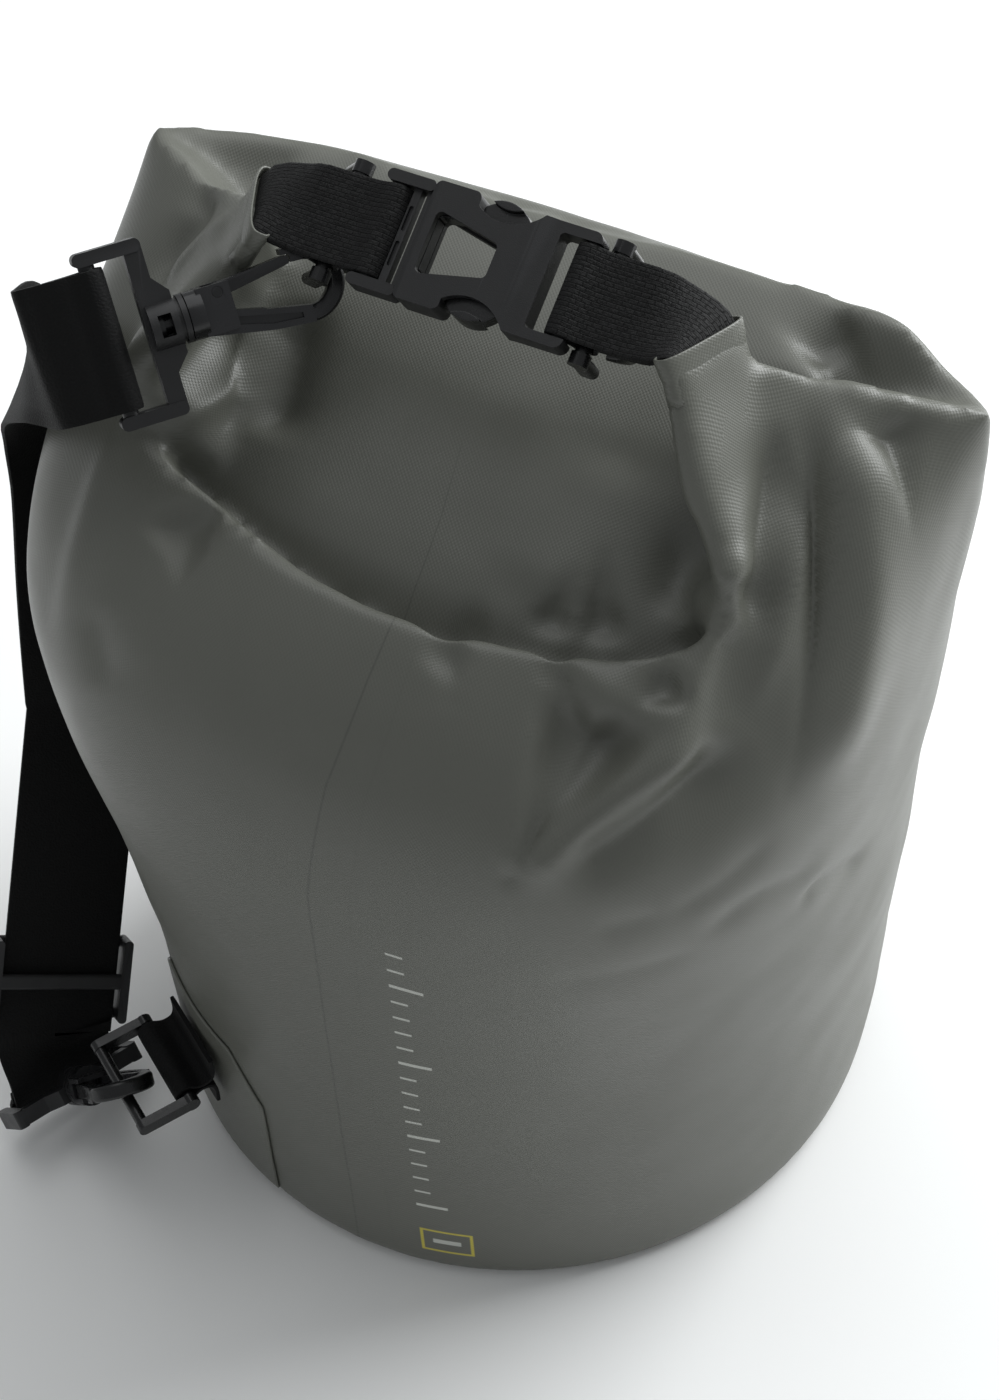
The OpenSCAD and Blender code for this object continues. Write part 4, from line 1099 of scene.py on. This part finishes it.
up_fold = folded_end(UP_BAR, UP_H, UP_W, 12)
low_fold = folded_end(LOW_BAR, LOW_U, LOW_F, 8.6)
over = [UP_BAR + UP_H * 9 + UP_N * 0.8, bend + (UP_N + UP_H) * 0.707 * 9, bend + UP_H * 9]
fall = [bend + UP_H * 8 - UP_N * 26, Vector((-142, -16, EAR_Z - 63)), Vector((-142, -14, EAR_Z * 0.677)),
        Vector((-139.5, -23, EAR_Z * 0.535)), run_b]
fall_turns = [Vector((0.3, -0.8, -0.5)), Vector((0, -0.98, -0.1)), Vector((-0.25, -0.97, 0)),
              Vector((-0.45, -0.89, 0)), run_w]
strap_knots = up_fold + over + fall
strap_turns = [UP_W] * (len(up_fold) + len(over)) + fall_turns
path, widths = densify(strap_knots, strap_turns, 6)
path += [run_b.lerp(run_a, k) for k in (0.1, 0.25, 0.4, 0.55, 0.7, 0.85)]
widths += [run_w] * 6
tail_path, tail_widths = densify([run_a, run_a.lerp(low_s, 0.5), low_s] + low_fold[::-1],
                                 [run_w, run_w.lerp(LOW_F, 0.5)] + [LOW_F] * (len(low_fold) + 1), 4)
strap_path, strap_widths = path + tail_path, widths + tail_widths
shoulder_strap = ribbon("shoulder_strap_webbing", strap_path, strap_widths, STRAP_HALF, STRAP_T, rib_webbing,
                        node="shoulder_strap")
strap_length = sum((b - a).length for a, b in zip(strap_path, strap_path[1:]))
print(shoulder_strap.name, "length", round(strap_length), "mm")


# %% [markdown]
# ## Anchor loop
# A short wide webbing is folded round the bar of the lower ring, and its two ends are sewn flat on the patch,
# one up and one down. One ribbon follows the whole fold.

# %% Anchor loop
LOOP_HALF = 14.5
# From the bar to the middle of the webbing on the patch: less wall, patch and half a ply.
foot = ANCHOR_STAND - 1.4 - 1.1 - 0.75
fold = [(-foot, -11), (-foot, -5), (-foot + 1.2, -1.7), (-foot + 4, -0.85), (-3.6, -1.5)]
fold += [(BAR_TURN * math.cos(k), BAR_TURN * math.sin(k)) for k in turn_angles(-120, 120)]
fold += [(-3.6, 1.5), (-foot + 4, 0.85), (-foot + 1.2, 1.7), (-foot, 5), (-foot, 11)]
loop_path = smooth_path([ANCHOR_BAR + ANCHOR_OUT * x + Vector((0, 0, z)) for x, z in fold], 3)
anchor_loop = ribbon("anchor_loop_webbing", loop_path, [ANCHOR_SIDE] * len(loop_path), LOOP_HALF, PLY_HALF,
                     rib_webbing, node="anchor_loop")
print("anchor loop:", len(anchor_loop.data.polygons), "faces")


# %% [markdown]
# ## Moulded pieces
# The CAD already has the true shapes of the buckle, rings, hooks, frames and slider, so these are not
# modelled again. A copy of each CAD mesh is merged, its flat triangles are dissolved into clean faces, and a
# Bevel modifier rounds the edges as a mould's radius would. Weighted normals keep the flats flat.

# %% Moulded pieces from the CAD
MOULDED = {
    "buckle_female": (matt_acetal, 0.7),
    "buckle_male": (matt_acetal, 0.6),
    "buckle_arm_front": (gloss_acetal, 0.9),
    "buckle_arm_back": (gloss_acetal, 0.9),
    "d_ring_left": (gloss_acetal, 1.1),
    "d_ring_right": (gloss_acetal, 1.1),
    "upper_hook": (gloss_acetal, 0.7),
    "upper_hook_gate": (gloss_acetal, 0.6),
    "upper_strap_frame": (matt_acetal, 0.7),
    "strap_slider": (matt_acetal, 0.6),
    "lower_strap_frame": (matt_acetal, 0.7),
    "lower_hook": (gloss_acetal, 0.7),
    "lower_hook_gate": (gloss_acetal, 0.6),
    "anchor_ring": (gloss_acetal, 0.8),
}
home = {node: body for body, nodes in frame["record"]["behaviour"]["bodies"].items() for node in nodes}


def moulded(node, material, radius):
    """A copy of one CAD piece, its edges rounded by a radius in mm, on the body that the piece rides on."""
    bm = bmesh.new()
    bm.from_mesh(frame["nodes"][node].data)
    bmesh.ops.remove_doubles(bm, verts=bm.verts[:], dist=0.01 * MM)
    bmesh.ops.dissolve_limit(bm, angle_limit=math.radians(1.5), verts=bm.verts[:], edges=bm.edges[:])
    part = piece(node + "_moulded", bm, [material], home[node])
    part.data.materials.clear()
    part.data.materials.append(material)
    rounding = part.modifiers.new("mould radius", "BEVEL")
    rounding.width, rounding.segments, rounding.profile = radius * MM, 3, 0.5
    rounding.limit_method, rounding.angle_limit = "ANGLE", math.radians(28)
    rounding.use_clamp_overlap, rounding.harden_normals = True, False
    part.modifiers.new("flat faces", "WEIGHTED_NORMAL").keep_sharp = False
    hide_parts(node)
    return part


for node, (material, radius) in MOULDED.items():
    moulded(node, material, radius)
print("moulded pieces:", len(MOULDED))


# %% [markdown]
# ## Floor, light and camera
# The photograph is a studio cut-out on white. Two large soft lights stand in for the room: a window behind the
# bag on its right, and a wide light over it. A plain pale world fills the shadows. The floor is white board, so
# the background is white by its colour and keeps the bag's shadow. The camera stands high at the front right
# and is turned as the photograph is.

# %% Floor
floor_mesh = bmesh.new()
bmesh.ops.create_circle(floor_mesh, cap_ends=True, segments=64, radius=6.0)
bmesh.ops.translate(floor_mesh, vec=(0, 0, -0.0004), verts=floor_mesh.verts[:])
ground, ground_tree, ground_shader = new_material("matt_studio_board", "#fbfbfa", 0.9, 1.45)
board_place = add(ground_tree, "ShaderNodeTexCoord")
paper = add(ground_tree, "ShaderNodeTexNoise", {"Scale": 400.0}, {"Vector": board_place.outputs["Object"]})
paper_bump = add(ground_tree, "ShaderNodeBump", {"Strength": 0.03, "Distance": 0.5 * MM},
                 {"Height": paper.outputs["Fac"]})
ground_tree.links.new(paper_bump.outputs[0], ground_shader.inputs["Normal"])
floor = piece("studio_floor", floor_mesh, [ground], body=None, smooth=False)
print("floor:", floor.name)

# %% Light and camera
scene = bpy.context.scene
scene.view_settings.view_transform = "Standard"
world = bpy.data.worlds.new("bright_room")
scene.world = world
world.use_nodes = True
sky = world.node_tree
sky.nodes.clear()
room = add(sky, "ShaderNodeBackground", {"Color": (0.95, 0.98, 1.0, 1.0), "Strength": 0.36})
add(sky, "ShaderNodeOutputWorld", None, {"Surface": room.outputs[0]})


def softbox(name, place, target, size, watts, colour):
    """A square area light that looks at a target."""
    lamp = bpy.data.lights.new(name, "AREA")
    lamp.shape, lamp.size, lamp.energy, lamp.color = "SQUARE", size, watts, colour
    obj = bpy.data.objects.new(name, lamp)
    scene.collection.objects.link(obj)
    obj.location = place
    obj.rotation_euler = (Vector(target) - Vector(place)).to_track_quat("-Z", "Y").to_euler()


softbox("window_softbox", (0.75, 1.2, 1.0), (0.03, 0, 0.28), 1.2, 34, (0.97, 0.99, 1.0))
softbox("ceiling_softbox", (-0.3, 0.75, 1.9), (0, 0, 0.2), 2.2, 16, (0.98, 0.99, 1.0))
camera = bpy.data.objects.new("camera", bpy.data.cameras.new("camera"))
scene.collection.objects.link(camera)
turned = Matrix((CAMERA_RIGHT, CAMERA_UP, CAMERA_BACK)).transposed().to_4x4()
camera.matrix_world = Matrix.Translation(CAMERA_PLACE) @ turned
camera.data.sensor_fit, camera.data.sensor_height, camera.data.lens = "VERTICAL", SENSOR, LENS
camera.data.clip_start = 0.01
scene.camera = camera
print("lamps:", len(bpy.data.lights), "lens:", LENS, "mm")
